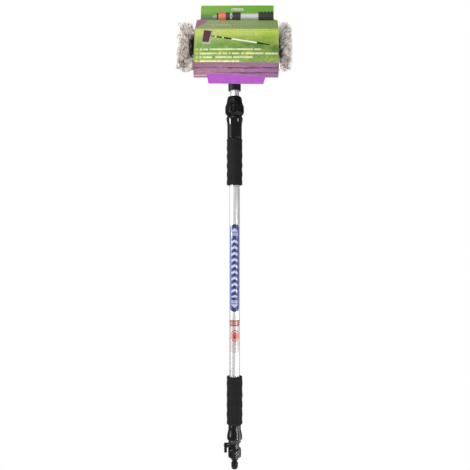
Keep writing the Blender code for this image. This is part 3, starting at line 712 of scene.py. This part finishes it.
def twist_lock():
    sleeve = [
        (15.4, 868.0, 0.4), (16.0, 867.0, 0.4), (16.0, 844.2, 0.3), (17.9, 844.2, 0.6), (19.9, 840.4, 2.0),
        (19.75, 836.6, 5.0), (18.3, 830.0, 8.0), (17.6, 823.5, 20.0), (17.55, 793.2, 1.0),
        (16.9, 791.9, 0.6), (POLE_R + 0.2, 791.9, 0.2), (POLE_R + 0.2, 858.3, 0),
        (POLE_BORE_R, 858.3, 0), (POLE_BORE_R, 868.0, 0.3),
    ]

    def thread(turn, r, z):
        """The screw thread, on the part that the collar hides."""
        on = np.clip((z - 845.5) / 1.5, 0, 1) * np.clip((866 - z) / 1.5, 0, 1) * (r > 15.5) * (r < 16.4)
        return r - on * 0.35 * (1 + np.sin(turn + FULL_TURN * z / 3.0))

    profile = fillet(sleeve)
    climb = [(16.0, z) for z in np.arange(866.0, 845.0, -0.5)]
    cut = max(i for i, (r, z) in enumerate(profile) if r < 16.05 and z > 866.0) + 1
    mesh = turned_mesh("gloss_sleeve", profile[:cut] + climb + profile[cut:], 96, thread)
    piece("gloss_sleeve", mesh, "outer_pole", "gloss_plastic", ["collet_body"])

    collar = [
        (12.0, 891.6, 0.4), (15.2, 891.6, 1.6), (16.8, 888.6, 2.0), (17.9, 883.6, 8.0), (18.6, 878.5, 6.0),
        (20.2, 873.0, 4.0), (22.0, 868.8, 2.5), (22.6, 866.0, 2.5), (22.6, 853.2, 1.8), (21.4, 850.4, 1.8),
        (17.4, 845.4, 0.5), (16.6, 844.9, 0.3), (16.6, 868.2, 0), (15.7, 869.0, 0), (13.6, 884.8, 0),
        (11.5, 886.0, 0), (11.5, 891.6, 0.4),
    ]
    waist = 17.2  # The collar's face is outside this radius

    def flutes(turn, r, z):
        """Broad hollows for the fingers, fading out up the cone."""
        strength = np.clip((z - 847.5) / 4.5, 0, 1) * np.clip((884.0 - z) / 13.0, 0, 1) * (r > waist)
        wave = np.abs(np.sin(turn * 7 + 0.5))
        return r - strength * 1.5 * np.clip(1 - wave * 2.2, 0, 1) ** 1.3

    mesh = turned_mesh("twist_collar", split(fillet(collar), waist, 1.2), 192, flutes)
    piece("twist_collar", mesh, "collar", "satin_plastic", ["lock_collar"])


# Valve

# From the lever's own frame, whose Z points out along its shaft, to the frame
TO_LEVER = Matrix.Translation((0, 0, up(56.3))) @ Matrix.Rotation(-math.pi / 2, 4, "Y")


def valve():
    cap = [
        (13.4, 106.7, 0.3), (15.0, 106.7, 0.9), (15.05, 94.0, 4.0), (16.0, 90.0, 6.0), (18.0, 81.0, 5.0),
        (18.3, 76.5, 4.0), (18.1, 72.0, 1.6), (15.8, 69.0, 1.6), (15.1, 66.0, 2.0), (14.8, 63.6, 1.0),
        (12.4, 61.3, 0.6), (11.3, 61.3, 0.2), (11.3, 76.0, 0), (6.0, 76.0, 0), (6.0, 79.7, 0),
        (12.8, 79.7, 0), (12.8, 106.7, 0),
    ]
    room_for_lever = [
        prism_mesh([(-25, -y), (right, -y), (right, y), (-25, y)], low, high, TO_HOSE_END)
        for right, y, low, high in ((-14.9, 12, 55, 69.7), (-8, 7.4, 50, 63.6))
    ]
    mesh = boolean(turned_mesh("valve_cap_shell", fillet(cap), 96), room_for_lever)
    piece("valve_cap_shell", mesh, "outer_pole", "gloss_plastic", ["valve_cap"])

    barrel = [
        (11.0, 75.7, 0.3), (11.1, 49.2, 0.5), (12.0, 48.7, 0), (12.0, 38.9, 0), (8.3, 38.9, 0),
        (8.3, 66.8, 0), (5.0, 66.8, 0), (5.0, 75.7, 0),
    ]
    shoulder = [(0, 9.2, 0), (6.9, 9.2, 0), (6.9, 14.6, 0.7), (0, 14.6, 0)]
    boss = [(0, 9.2, 0), (6.0, 9.2, 0), (6.0, 18.2, 0.6), (0, 18.2, 0)]
    solids = [plug_mesh(fillet(profile, False), 48, TO_LEVER) for profile in (shoulder, boss)]
    bore = plug_mesh([(0, 6.0), (3.3, 6.0), (3.3, 22.0), (0, 22.0)], 32, TO_LEVER)
    mesh = boolean(turned_mesh("valve_barrel", fillet(barrel), 72), solids, "UNION")
    piece("valve_barrel", boolean(mesh, [bore]), "outer_pole", "gloss_plastic", ["valve_body"])

    outline = fillet([(5.8, -5.4, 4.8), (5.8, 5.4, 4.8), (-17.9, 3.6, 3.2), (-17.9, -3.6, 3.2)], steps=8)
    dish = fillet([(-3.4, -3.0, 1.6), (-3.4, 3.0, 1.6), (-15.6, 1.8, 1.2), (-15.6, -1.8, 1.2)])
    bar = boolean(prism_mesh(outline, 18.3, 25.0, TO_LEVER, 0.6, 3), [
        prism_mesh(dish, 24.2, 26.0, TO_LEVER),
        plug_mesh([(0, 18.0), (2.6, 18.0), (2.6, 22.8), (0, 22.8)], 24, TO_LEVER),
        plug_mesh([(0, 18.0), (1.6, 18.0), (1.6, 30.0), (0, 30.0)], 24, TO_LEVER),
    ])
    piece("shutoff_lever", bar, "valve_core", "satin_plastic", ["valve_lever"])
    screw = [
        (0, 26.3, 0), (1.6, 26.2, 0.3), (2.7, 25.7, 0.3), (2.7, 25.1, 0), (1.15, 25.1, 0), (1.15, 17.6, 0),
        (0, 17.6, 0),
    ]
    cross_screw("lever_screw_head", screw, TO_LEVER, "valve_core", "lever_screw", 0.8)


def cross_screw(name, profile, matrix, body, node, depth):
    """A screw whose head, at the start of its profile, has a cross recess."""
    top = profile[0][1]
    cuts = [
        prism_mesh([(-a, -b), (a, -b), (a, b), (-a, b)], top - depth, top + 1, matrix)
        for a, b in ((1.7, 0.38), (0.38, 1.7))
    ]
    mesh = plug_mesh(fillet(profile, False, 3), 40, matrix)
    piece(name, boolean(mesh, cuts), body, "screw_steel", [node])


def hose_end():
    nut = [
        (13.2, 49.0, 0.3), (15.3, 49.0, 0.8), (15.5, 47.0, 0.5), (15.5, 29.8, 0.8), (14.0, 28.2, 0.6),
        (9.1, 28.2, 0.3), (9.1, 33.0, 0), (12.3, 33.0, 0), (12.3, 49.0, 0.2),
    ]
    profile = []
    outline = fillet(nut)
    for (r, z), (_, z_on) in zip(outline, outline[1:] + outline[:1]):
        profile.append((r, z))
        if r > 15.3 and z - z_on > 8:
            profile += [(15.5, height) for height in (46.4, 45.6, 33.4, 32.6)]

    def ribs(turn, r, z):
        """Grip grooves cut into the nut's side."""
        on = np.clip((46.4 - z) / 0.8, 0, 1) * np.clip((z - 32.6) / 0.8, 0, 1) * (r > 15.3)
        return r - on * 0.5 * np.clip((-0.8 - np.cos(turn * 20)) * 8, 0, 1)

    mesh = turned_mesh("coupling_nut", profile, 288, ribs)
    piece("coupling_nut", mesh, "outer_pole", "gloss_plastic", ["end_nut"])

    nipple = [
        (11.8, 36.3, 0.3), (11.8, 33.3, 0.3), (8.75, 33.3, 0.3), (8.75, 24.6, 0.8), (8.2, 22.2, 0.8),
        (6.1, 19.8, 1.2), (6.1, 16.6, 1.2), (7.9, 15.0, 0.8), (8.2, 13.4, 0.8), (8.0, 8.3, 0.25),
        (5.9, 8.3, 0.2), (5.9, 4.7, 0.2), (7.9, 4.7, 0.4), (7.2, 1.9, 1.6), (5.9, 0.0, 0.8),
        (4.5, 0.0, 0.4), (4.5, 36.3, 0.3),
    ]
    turned("hose_plug", nipple, 80, "outer_pole", "satin_plastic", "hose_nipple")
    around = np.linspace(0, FULL_TURN, 16, endpoint=False)
    ring = np.stack([7.25 + 1.05 * np.cos(around), 6.5 + 1.05 * np.sin(around)], -1)
    mesh = turned_mesh("plug_seal", ring, 72)
    piece("plug_seal", mesh, "outer_pole", "seal_rubber", ["nipple_o_ring"])


# Head


def slab(half_x, half_y, radius, low, high, bevel=0.0, segments=2, steps=5, centre=(0, 0)):
    """A plate with rounded corners across the head, between two depths."""
    return prism_mesh(rectangle(half_x, half_y, radius, steps, centre), low, high, TO_HEAD, bevel, segments)


def head():
    """The tray that holds the tufts, its back plate with stiffening ribs, and the neck socket."""
    chamber = slab(84.0, 21.0, 7.0, -12.0, 8.0)
    groove = boolean(slab(98.5, 34.5, 15.0, -1.0, 0.4, steps=8), [slab(96.2, 32.2, 13.2, -2.0, 1.4, steps=8)])
    outlets = [slab(1.6, 1.6, 0.5, 6.0, 14.0, steps=2, centre=(x, 0)) for x in range(-75, 76, 30)]
    block = slab(97.0, 33.0, 14.0, -8.7, 12.0, 1.6, 3, 8)
    block = boolean(block, [chamber, groove, *outlets])
    piece("tuft_block", block, "inner_pole", "head_plastic", ["head_block"])

    plate = slab(97.0, 33.0, 14.0, -12.0, -9.0, 0.9, 3, 8)
    upright = [(x, 0) for x in (-74, -50, -30, 30, 50, 74)]
    ribs = [slab(1.1, 24.0, 1.0, -13.6, -11.0, 0.4, steps=3, centre=place) for place in upright]
    level = [(x, z) for x in (-56, 56) for z in (-24, 24)]
    ribs += [slab(28.0, 1.1, 1.0, -13.4, -11.2, 0.4, steps=3, centre=place) for place in level]
    neck = [
        (0, 990.0, 0), (7.0, 989.0, 5.0), (12.0, 984.5, 6.0), (15.0, 975.0, 12.0), (15.0, 906.0, 0.9),
        (11.4, 906.0, 0.5), (11.4, 936.3, 0), (0, 936.3, 0),
    ]
    socket = boolean(plug_mesh(fillet(neck, False, 5), 80), [slab(40, 80, 5.0, -9.4, 60.0)])
    cover = boolean(plate, [*ribs, socket], "UNION")
    piece("back_cover", cover, "inner_pole", "head_plastic", ["head_cover"])

    screw = [
        (0, 12.9, 0), (2.4, 12.8, 0.6), (3.3, 12.1, 0.4), (3.3, 11.7, 0), (1.5, 11.7, 0), (1.5, -4.5, 0),
        (0, -4.5, 0),
    ]
    places = [(x, z) for x in (-90.5, 90.5) for z in (-26.5, 26.5)]
    for i, (x, z) in enumerate(places, 1):
        matrix = TO_HEAD @ Matrix.Translation((x * MM, z * MM, 0)) @ Matrix.Rotation(math.pi, 4, "X")
        cross_screw(f"back_screw_{i}", screw, matrix, "inner_pole", f"cover_screw_{i}", 0.9)
    matrix = Matrix.Translation((0, 0, up(920.0))) @ Matrix.Rotation(-math.pi / 2, 4, "X")
    screw = [
        (0, 17.4, 0), (2.0, 17.2, 0.6), (3.1, 16.4, 0.5), (3.1, 15.1, 0), (1.5, 15.1, 0), (1.5, 9.0, 0),
        (0, 9.0, 0),
    ]
    cross_screw("neck_screw_head", screw, matrix, "inner_pole", "neck_screw", 0.9)


# Bristles

# Quarter outlines of the brush as (x, z) at its root, halfway and at its tips, outside and inside
ROOT = [(0, 30), (60, 30), (82, 30), (88, 30), (91, 28.5), (93, 26), (94, 22), (94.5, 12), (94.5, 0)]
FLARE = [(0, 38), (60, 38), (93, 38), (100, 39), (104, 49), (111, 51), (116, 42), (114, 18), (112, 0)]
TIP = [(0, 42), (60, 42), (100, 42), (102, 50), (105, 62), (119, 65), (130, 55), (130, 20), (127, 0)]
HOLE_ROOT = [(0, 18), (50, 18), (70, 18), (77, 18), (81, 17), (83, 16), (84, 13), (85, 7), (85, 0)]
HOLE_FLARE = [(x * 1.1, z * 1.3) for x, z in HOLE_ROOT]
HOLE_TIP = [(x * 1.2, z * 1.6) for x, z in HOLE_ROOT]
ROOT_DEPTH, TIP_DEPTH = 11.6, 60.8
CARD_HALF = 96.5


def full_loop(quarter):
    right = quarter + [(x, -z) for x, z in reversed(quarter[:-1])]
    left = [(-x, z) for x, z in reversed(right[1:-1])]
    return np.array(right + left + right[:1], float)


def on_loop(loop, place):
    """Points at fractional places round a loop."""
    index = np.minimum(place.astype(int), len(loop) - 2)
    part = (place - index)[:, None]
    return loop[index] * (1 - part) + loop[index + 1] * part


def strand_mesh(paths, radius):
    """Three-sided tapered strands along paths of shape (strands, points, 3), in head coordinates, capped."""
    count, steps, _ = paths.shape
    ahead = np.gradient(paths, axis=1)
    ahead /= np.linalg.norm(ahead, axis=2, keepdims=True) + 1e-9
    side = np.cross(ahead, np.array([0.31, 0.17, 0.93]))
    side /= np.linalg.norm(side, axis=2, keepdims=True) + 1e-9
    other = np.cross(ahead, side)
    thick = (radius[:, None] * (1 - 0.3 * np.linspace(0, 1, steps)[None] ** 2))[..., None]
    rings = [paths + thick * (math.cos(a) * side + math.sin(a) * other) for a in np.arange(3) * FULL_TURN / 3]
    matrix = np.array(TO_HEAD)
    points = (np.stack(rings, 2).reshape(-1, 3) * MM) @ matrix[:3, :3].T + matrix[:3, 3]
    base = (np.arange(count)[:, None] * steps + np.arange(steps - 1)[None]) * 3
    quads = [
        np.stack([base + k, base + n, base + 3 + n, base + 3 + k], -1).reshape(-1, 4)
        for k, n in ((0, 1), (1, 2), (2, 0))
    ]
    first = np.arange(count) * steps * 3
    last = first + (steps - 1) * 3
    caps = [np.stack([first, first + 2, first + 1], -1), np.stack([last, last + 1, last + 2], -1)]
    mesh = bpy.data.meshes.new("strands")
    mesh.from_pydata(points.tolist(), [], [face for part in quads + caps for face in part.tolist()])
    return mesh


def tuft_paths(rng, places, parts):
    """Strands in tufts: each follows its place in the brush, crimped, and frayed towards the tip."""
    strands, steps = 8, 11
    loops = [full_loop(q) for q in (HOLE_ROOT, HOLE_FLARE, HOLE_TIP, ROOT, FLARE, TIP)]
    rims = [on_loop(loop, places) for loop in loops]
    root, flare, tip = (
        np.repeat(inner + (outer - inner) * parts[:, None], strands, 0)[:, None]
        for inner, outer in zip(rims[:3], rims[3:])
    )
    total = len(root)
    t = np.linspace(0, 1, steps)[None, :, None]
    flat = root * (1 - t) * (1 - 2 * t) + flare * 4 * t * (1 - t) + tip * t * (2 * t - 1)
    flat = flat + rng.normal(0, 1, (total, 1, 2)) * (0.6 + 1.5 * t)
    lean = np.repeat(rng.normal(0, 1, (len(parts), 1, 2)), strands, 0)
    flat = flat + lean * 2.8 * t**2
    length = rng.uniform(0.86, 1.03, (total, 1))
    depth = ROOT_DEPTH + (TIP_DEPTH - ROOT_DEPTH) * t[..., 0] * length
    phase = rng.uniform(0, FULL_TURN, (total, 1, 2))
    waves = rng.uniform(2.6, 4.4, (total, 1, 2))
    flat = flat + 1.15 * np.clip(t * 3, 0, 1) * np.sin(FULL_TURN * waves * t + phase)
    return kept_in(np.concatenate([flat, depth[..., None]], -1))


def kept_in(paths):
    """Holds the strands inside the card where it covers them, and inside the brush's own spread."""
    x, z, depth = paths[..., 0], paths[..., 1], paths[..., 2]
    under = np.clip((CARD_HALF + 2 - np.abs(x - 4.5)) / 2, 0, 1)
    room = 37.0 + np.clip(depth, 0, 62) * 0.09 + (1 - under) * 27.0
    paths[..., 1] = np.clip(z, -room, room)
    paths[..., 0] = np.clip(x, -132.0, 132.0)
    paths[..., 2] = np.clip(depth, 0, 60.9 + (1 - under) * 2.0)
    return paths


def outer_places(rng, count):
    """Places round the brush, dense at its open ends and thin where the card hides it."""
    loop = full_loop(TIP)
    fine = np.linspace(0, len(loop) - 1, 1441)
    here = on_loop(loop, (fine[:-1] + fine[1:]) / 2)
    lengths = np.linalg.norm(on_loop(loop, fine[1:]) - on_loop(loop, fine[:-1]), axis=1)
    weight = lengths * np.where(np.abs(here[:, 0]) > 80, 1.0, 0.16)
    chosen = np.sort(rng.choice(len(here), size=count, p=weight / weight.sum()))
    return fine[chosen] + rng.uniform(0, 1, count) * (fine[1] - fine[0])


def bristles():
    """Pale tufts round the edge in mixed tones, each tone its own piece, and dark tufts inside, most of them
    out at the card's edges, where they also stand for shade.
    """
    rng = np.random.default_rng(11)
    for name, dark, light, count in (
        ("cream", (250, 240, 232), (255, 253, 249), 390),
        ("ivory", (250, 240, 232), (255, 253, 249), 110),
        ("oatmeal", (240, 226, 214), (255, 246, 236), 380),
        ("grey", (186, 176, 172), (226, 220, 217), 130),
        ("taupe", (120, 106, 98), (176, 160, 150), 50),
        ("umber", (24, 20, 19), (52, 44, 42), 95),
    ):
        surface = bristle(name, dark, light)
        places = outer_places(rng, count)
        parts = rng.uniform(0.2, 1.0, count) ** 0.8
        parts = np.where(on_loop(full_loop(TIP), places)[:, 0] > 60, 0.15 + 0.85 * parts, parts)
        paths = tuft_paths(rng, places, parts)
        mesh = strand_mesh(paths, rng.uniform(0.42, 0.58, len(paths)))
        node = ["outer_bristles"] if name == "cream" else []
        piece("tufts_" + name, mesh, "inner_pole", "light_bristle", node, surface)

    count, strands = 230, 12
    side = rng.uniform(-1, 1, count)
    # Two in three dark tufts sit out by the card's ends: partly the brush's dark inner tufts, partly painted
    # shade in the gap between the card's edge and the pale tufts.
    x = np.where(np.arange(count) % 3 > 0, np.sign(side) * (64 + 24 * np.abs(side)) + 3, side * 64)
    z = rng.uniform(-19, 19, count)
    root = np.repeat(np.stack([x, z], -1), strands, 0)[:, None]
    t = np.linspace(0, 1, 7)[None, :, None]
    flat = root * (1 + np.array([0.2, 0.4]) * t) + rng.normal(0, 1, (len(root), 1, 2)) * (0.5 + 2.0 * t)
    flat = flat + 0.35 * np.sin(FULL_TURN * 4 * t + rng.uniform(0, 6.3, (len(root), 1, 2)))
    length = rng.uniform(0.9, 1.0, (len(root), 1))
    depth = ROOT_DEPTH + (TIP_DEPTH - 1.5 - ROOT_DEPTH) * t[..., 0] * length
    paths = kept_in(np.concatenate([flat, depth[..., None]], -1))
    mesh = strand_mesh(paths, rng.uniform(0.25, 0.36, len(paths)))
    surface = bristle("dark", (10, 9, 9), (34, 30, 30), 0.6)
    piece("tufts_dark", mesh, "inner_pole", "dark_bristle", ["inner_bristles"], surface)


# Card sleeve

TAB_Y, TAB_TOP, TAB_FOOT, SLOT_HEIGHT = -5.0, 1109.0, 1074.0, 1099.0


def sleeve_middle(height):
    return 3.0 + 0.02 * (height - 919.0)


def fold_line(corners, radius, step):
    """Bent card with rounded folds: rows of (y, z, distance along the corners) and the outward sides."""
    rows = []
    travelled = 0.0
    trim = radius * 1.2
    last = len(corners) - 1
    for i in range(last + 1):
        here = np.array(corners[i], float)
        if 0 < i < last:
            back, on = (np.array(corners[n], float) - here for n in (i - 1, i + 1))
            travelled += np.linalg.norm(back)
            back, on = back / np.linalg.norm(back), on / np.linalg.norm(on)
            for t in np.linspace(0, 1, 7):
                spot = here + back * trim * (1 - t) ** 2 + on * trim * t**2
                rows.append((*spot, travelled + trim * (2 * t - 1)))
        if i < last:
            ahead = np.array(corners[i + 1], float) - here
            length = np.linalg.norm(ahead)
            start = 0 if i == 0 else trim + step * 0.5
            stop = length if i == last - 1 else length - trim - step * 0.5
            for d in np.linspace(start, stop, max(2, int((stop - start) / step) + 1)):
                rows.append((*(here + ahead / length * d), travelled + d))
    rows = np.array(rows)
    along = np.gradient(rows[:, :2], axis=0)
    along /= np.linalg.norm(along, axis=1, keepdims=True)
    return rows, np.stack([along[:, 1], -along[:, 0]], 1)


def card_sheet(rows, outward, half_width, surface, columns, warp, askew=None):
    """A sheet of card from fold rows, printed outside and plain inside and at its cut edges."""
    spots = np.linspace(-1, 1, columns)
    layers, flats = np.empty((2, len(rows), columns, 3)), np.empty((len(rows), columns, 2))
    for j, ((y, z, distance), (ny, nz)) in enumerate(zip(rows, outward)):
        across = spots * half_width(distance)
        flats[j, :, 0], flats[j, :, 1] = across / 100, distance / 100
        if askew:
            at = askew(across, distance)
            y, z, ny, nz = (np.interp(at, rows[:, 2], of) for of in (*rows[:, :2].T, *outward.T))
        for layer, side in enumerate((0.5, -0.5)):
            off = warp(across, distance) + side * CARD_THICKNESS
            layers[layer, j] = np.stack([sleeve_middle(z) + across, y + ny * off, z + nz * off], -1)
    return sheet_mesh(layers * MM + (0, 0, HOSE_END), flats, [surface, CARD_BACK, CARD_CORE])


def card_sleeve():
    """One sheet from the front of the hang tab, down round the head and up again behind the tab."""
    fold = [head_spot(*spot) for spot in ((62, 44), (62, -47), (0, -38.5), (-14.2, -35), (-14.2, 36))]
    front, back = TAB_Y - 0.3, TAB_Y + 0.3
    corners = [(front, TAB_TOP), (front, TAB_FOOT), *fold, (back, TAB_FOOT), (back, TAB_TOP)]
    marks = np.concatenate([[0], np.cumsum([math.dist(a, b) for a, b in zip(corners, corners[1:])])])
    rows, outward = fold_line(corners, 1.6, 3.2)

    def part(distance, mark):
        """How much of the panel that starts at this fold is above a place."""
        return np.clip((distance - marks[mark]) / (marks[mark + 1] - marks[mark]), 0, 1)

    def half_width(distance):
        """Narrow at the tab, full at the front, with rounded corners at the tab's top."""
        stops = [0, marks[1] - 2.0, marks[1] + 0.5, marks[7] - 0.5, marks[7] + 2.0, marks[8]]
        width = np.interp(distance, stops, [86.9, 87.1, CARD_HALF, CARD_HALF, 87.1, 86.9])
        width += np.interp(distance, marks[3:7], [0, 3.6, 3.6, 0])
        rim = min(distance, marks[8] - distance)
        return width - 1.2 * (1 - math.sqrt(1 - (1 - rim / 1.2) ** 2)) if rim < 1.2 else width

    def warp(across, distance):
        """The panels' slack: the front bows out, the underside ripples, and the tab curls."""
        middle = 1 - (across / CARD_HALF) ** 2
        front = 1.6 * math.sin(math.pi * part(distance, 2)) * middle
        roof = 1.0 * math.sin(math.pi * part(distance, 1)) * middle
        ripple = np.sin(across / 17.0 + 1.0) * 0.35 + np.sin(across / 41.0) * 0.5
        below = math.sin(math.pi * part(distance, 3)) * (0.9 + ripple)
        tab = np.clip(1 - min(distance, marks[8] - distance) / 37.0, 0, 1)
        curl = 0.8 * tab**2 * np.sin(across / 38.0 + 0.6) * (1 if distance < marks[4] else -1)
        return front + below + curl - roof

    mesh = card_sheet(rows, outward, half_width, FINISHES["printed_card"], 56, warp)
    middle = sleeve_middle(SLOT_HEIGHT)
    upright = TO_HOSE_END @ Matrix.Rotation(math.pi / 2, 4, "X")
    slot = prism_mesh(rectangle(14.5, 3.3, 3.2, 6, (middle, SLOT_HEIGHT)), -20, 20, upright)
    neck = plug_mesh([(0, 890), (17.0, 890), (17.0, 996), (0, 996)], 48)
    for cutter in (slot, neck):
        for surface in mesh.materials:
            cutter.materials.append(surface)
        cutter.polygons.foreach_set("material_index", [2] * len(cutter.polygons))
    piece("sleeve_card", boolean(mesh, [slot, neck]), "inner_pole", "printed_card", ["card_sleeve"])

    hinge = Matrix.Translation((middle * MM, (TAB_Y + 0.8) * MM, up(1102.2)))
    hinge = hinge @ Matrix.Rotation(math.radians(20) + math.pi / 2, 4, "X")
    tongue = prism_mesh(rectangle(13.6, 2.7, 2.4, 5, (0, -2.8)), -0.2, 0.2, hinge)
    piece("slot_tongue", tongue, "inner_pole", "printed_card", (), LIT_TONGUE)
    card_flap(fold)


def card_flap(fold):
    """The purple tongue stuck on below the front, sitting a little askew."""
    before, under = np.array(fold[1]), np.array(fold[2])
    slope = (before - under) / np.linalg.norm(before - under)
    away = np.array([slope[1], -slope[0]])
    away = -away if away[1] > 0 else away
    start, bend = under + slope * 13.0 + away * 0.75, under + away * 0.75 + np.array([-0.5, -0.4])
    rows, outward = fold_line([start, bend, (-19.0, 917.6)], 1.2, 1.0)
    length = rows[-1, 2]

    def half_width(distance):
        return 70.0 - 5.0 * distance / length

    def warp(across, distance):
        return 0.4 * np.sin(across / 30.0 + 0.5) * distance / length

    def askew(across, distance):
        """Slides each column along the tongue: the right of its top edge starts past the fold."""
        part = (across + 70) / 140
        late, early = 13.2 * part, 1.4 * (1 - part)
        return late + (length - late - early) * distance / length

    mesh = card_sheet(rows, outward, half_width, FLAP, 44, warp, askew)
    piece("sleeve_flap", mesh, "inner_pole", "printed_card")


# What shows little, and keeps its CAD shape


def carried():
    for finish, names in (
        ("seat_plastic", ("clamp_ring", "upper_ball_seat", "lower_ball_seat")),
        ("satin_plastic", ("seat_retainer", "bottom_plug")),
        ("chromed_brass", ("valve_ball", "valve_stem")),
        ("seal_rubber", ("packing_seal", "piston_seal", "neck_seal", "tube_seal")),
        ("seal_rubber", ("stem_o_ring", "nipple_washer")),
    ):
        for name in names:
            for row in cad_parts[name].material_slots:
                row.material = FINISHES[finish]


# Stage


def stage():
    """A round floor well below the brush, which is held up by its grip."""
    radius, drop = 1.2, 0.65
    s = Surface("studio_floor", Emission_Color=(255, 255, 255), Emission_Strength=0.35)
    pale = s.made(s.mix(s.noise(400, 2), (246, 246, 246), (252, 252, 252)), 0.9)
    mesh = bpy.data.meshes.new("floor")
    bm = bmesh.new()
    bmesh.ops.create_circle(bm, cap_ends=True, segments=128, radius=radius)
    bmesh.ops.translate(bm, verts=bm.verts, vec=(0, 0, HOSE_END - drop))
    bm.to_mesh(mesh)
    bm.free()
    mesh.materials.append(pale)
    linked("floor", mesh)


# Light panels in metres: name, azimuth (0 is the camera's side, 90 the right), distance, from and to
# what z, width, radiance, and the z that it faces
PANELS = (
    ("key", -30, 2.3, 1.4, 2.9, 1.9, 5.0, 0.5),
    ("front_fill", 25, 2.4, -1.5, -0.5, 1.6, 0.6, 0.5),
    ("left_wall", -74, 1.6, -0.3, 1.6, 1.0, 1.5, 0.7),
    ("left_strip", -70, 1.3, 0.36, 0.70, 0.2, 62.0, 0.5),
    ("left_low", -66, 1.3, -0.3, -0.02, 0.3, 6.0, 0.1),
    ("right_spot", 50, 1.3, 0.33, 0.5, 0.18, 19.0, 0.6),
    ("right_strip", 42, 1.3, -0.7, 0.3, 0.055, 62.0, -0.1),
    ("right_wall", 86, 1.5, -1.1, 0.0, 1.1, 3.2, -0.1),
    ("back", 180, 2.2, -0.2, 1.8, 1.6, 0.8, 0.6),
)


def lights():
    """The panels, and a white surround that is dimmer as a light than as a backdrop."""
    for name, azimuth, reach, low, high, width, radiance, aim in PANELS:
        turn = math.radians(azimuth)
        place = Vector((reach * math.sin(turn), -reach * math.cos(turn), (low + high) / 2))
        light = bpy.data.lights.new(name, "AREA")
        light.shape, light.size, light.size_y = "RECTANGLE", width, high - low
        light.energy = radiance * math.pi * width * (high - low)
        obj = linked(name, light)
        obj.location = place
        obj.rotation_euler = (Vector((0, 0, aim)) - place).to_track_quat("-Z", "Y").to_euler()
        obj.visible_camera = False
    world = bpy.data.worlds.new("studio")
    world.use_nodes = True
    tree = world.node_tree
    background = tree.nodes["Background"].inputs
    background["Color"].default_value = (1, 1, 1, 1)
    path = tree.nodes.new("ShaderNodeLightPath")
    level = tree.nodes.new("ShaderNodeMapRange")
    level.inputs["To Min"].default_value = 0.22
    level.inputs["To Max"].default_value = 1.0
    tree.links.new(path.outputs["Is Camera Ray"], level.inputs["Value"])
    tree.links.new(level.outputs[0], background["Strength"])
    bpy.context.scene.world = world
    bpy.context.scene.view_settings.view_transform = "Standard"


def camera():
    data = bpy.data.cameras.new("camera")
    data.sensor_width, data.lens = 36.0, 44.68
    obj = linked("camera", data)
    obj.location = (0.001, -1.4, 0.3941)
    obj.rotation_euler = (math.pi / 2, 0, 0)
    bpy.context.scene.camera = obj


camera()
lights()
stage()
pole()
foam_grip("lower_foam", "lower_grip", 24.0, 130.0, 18.75, 3)
foam_grip("upper_foam", "upper_grip", 20.6, 768.5, 18.5, 4)
wrapped_film("blue_label", "pole_label", 13.3, 11.5, 0.25, "label_blue")
wrapped_film("red_marker", "marker_label", 14.1, 1.4, 0.22, "marker_red")
twist_lock()
valve()
hose_end()
head()
bristles()
card_sleeve()
carried()
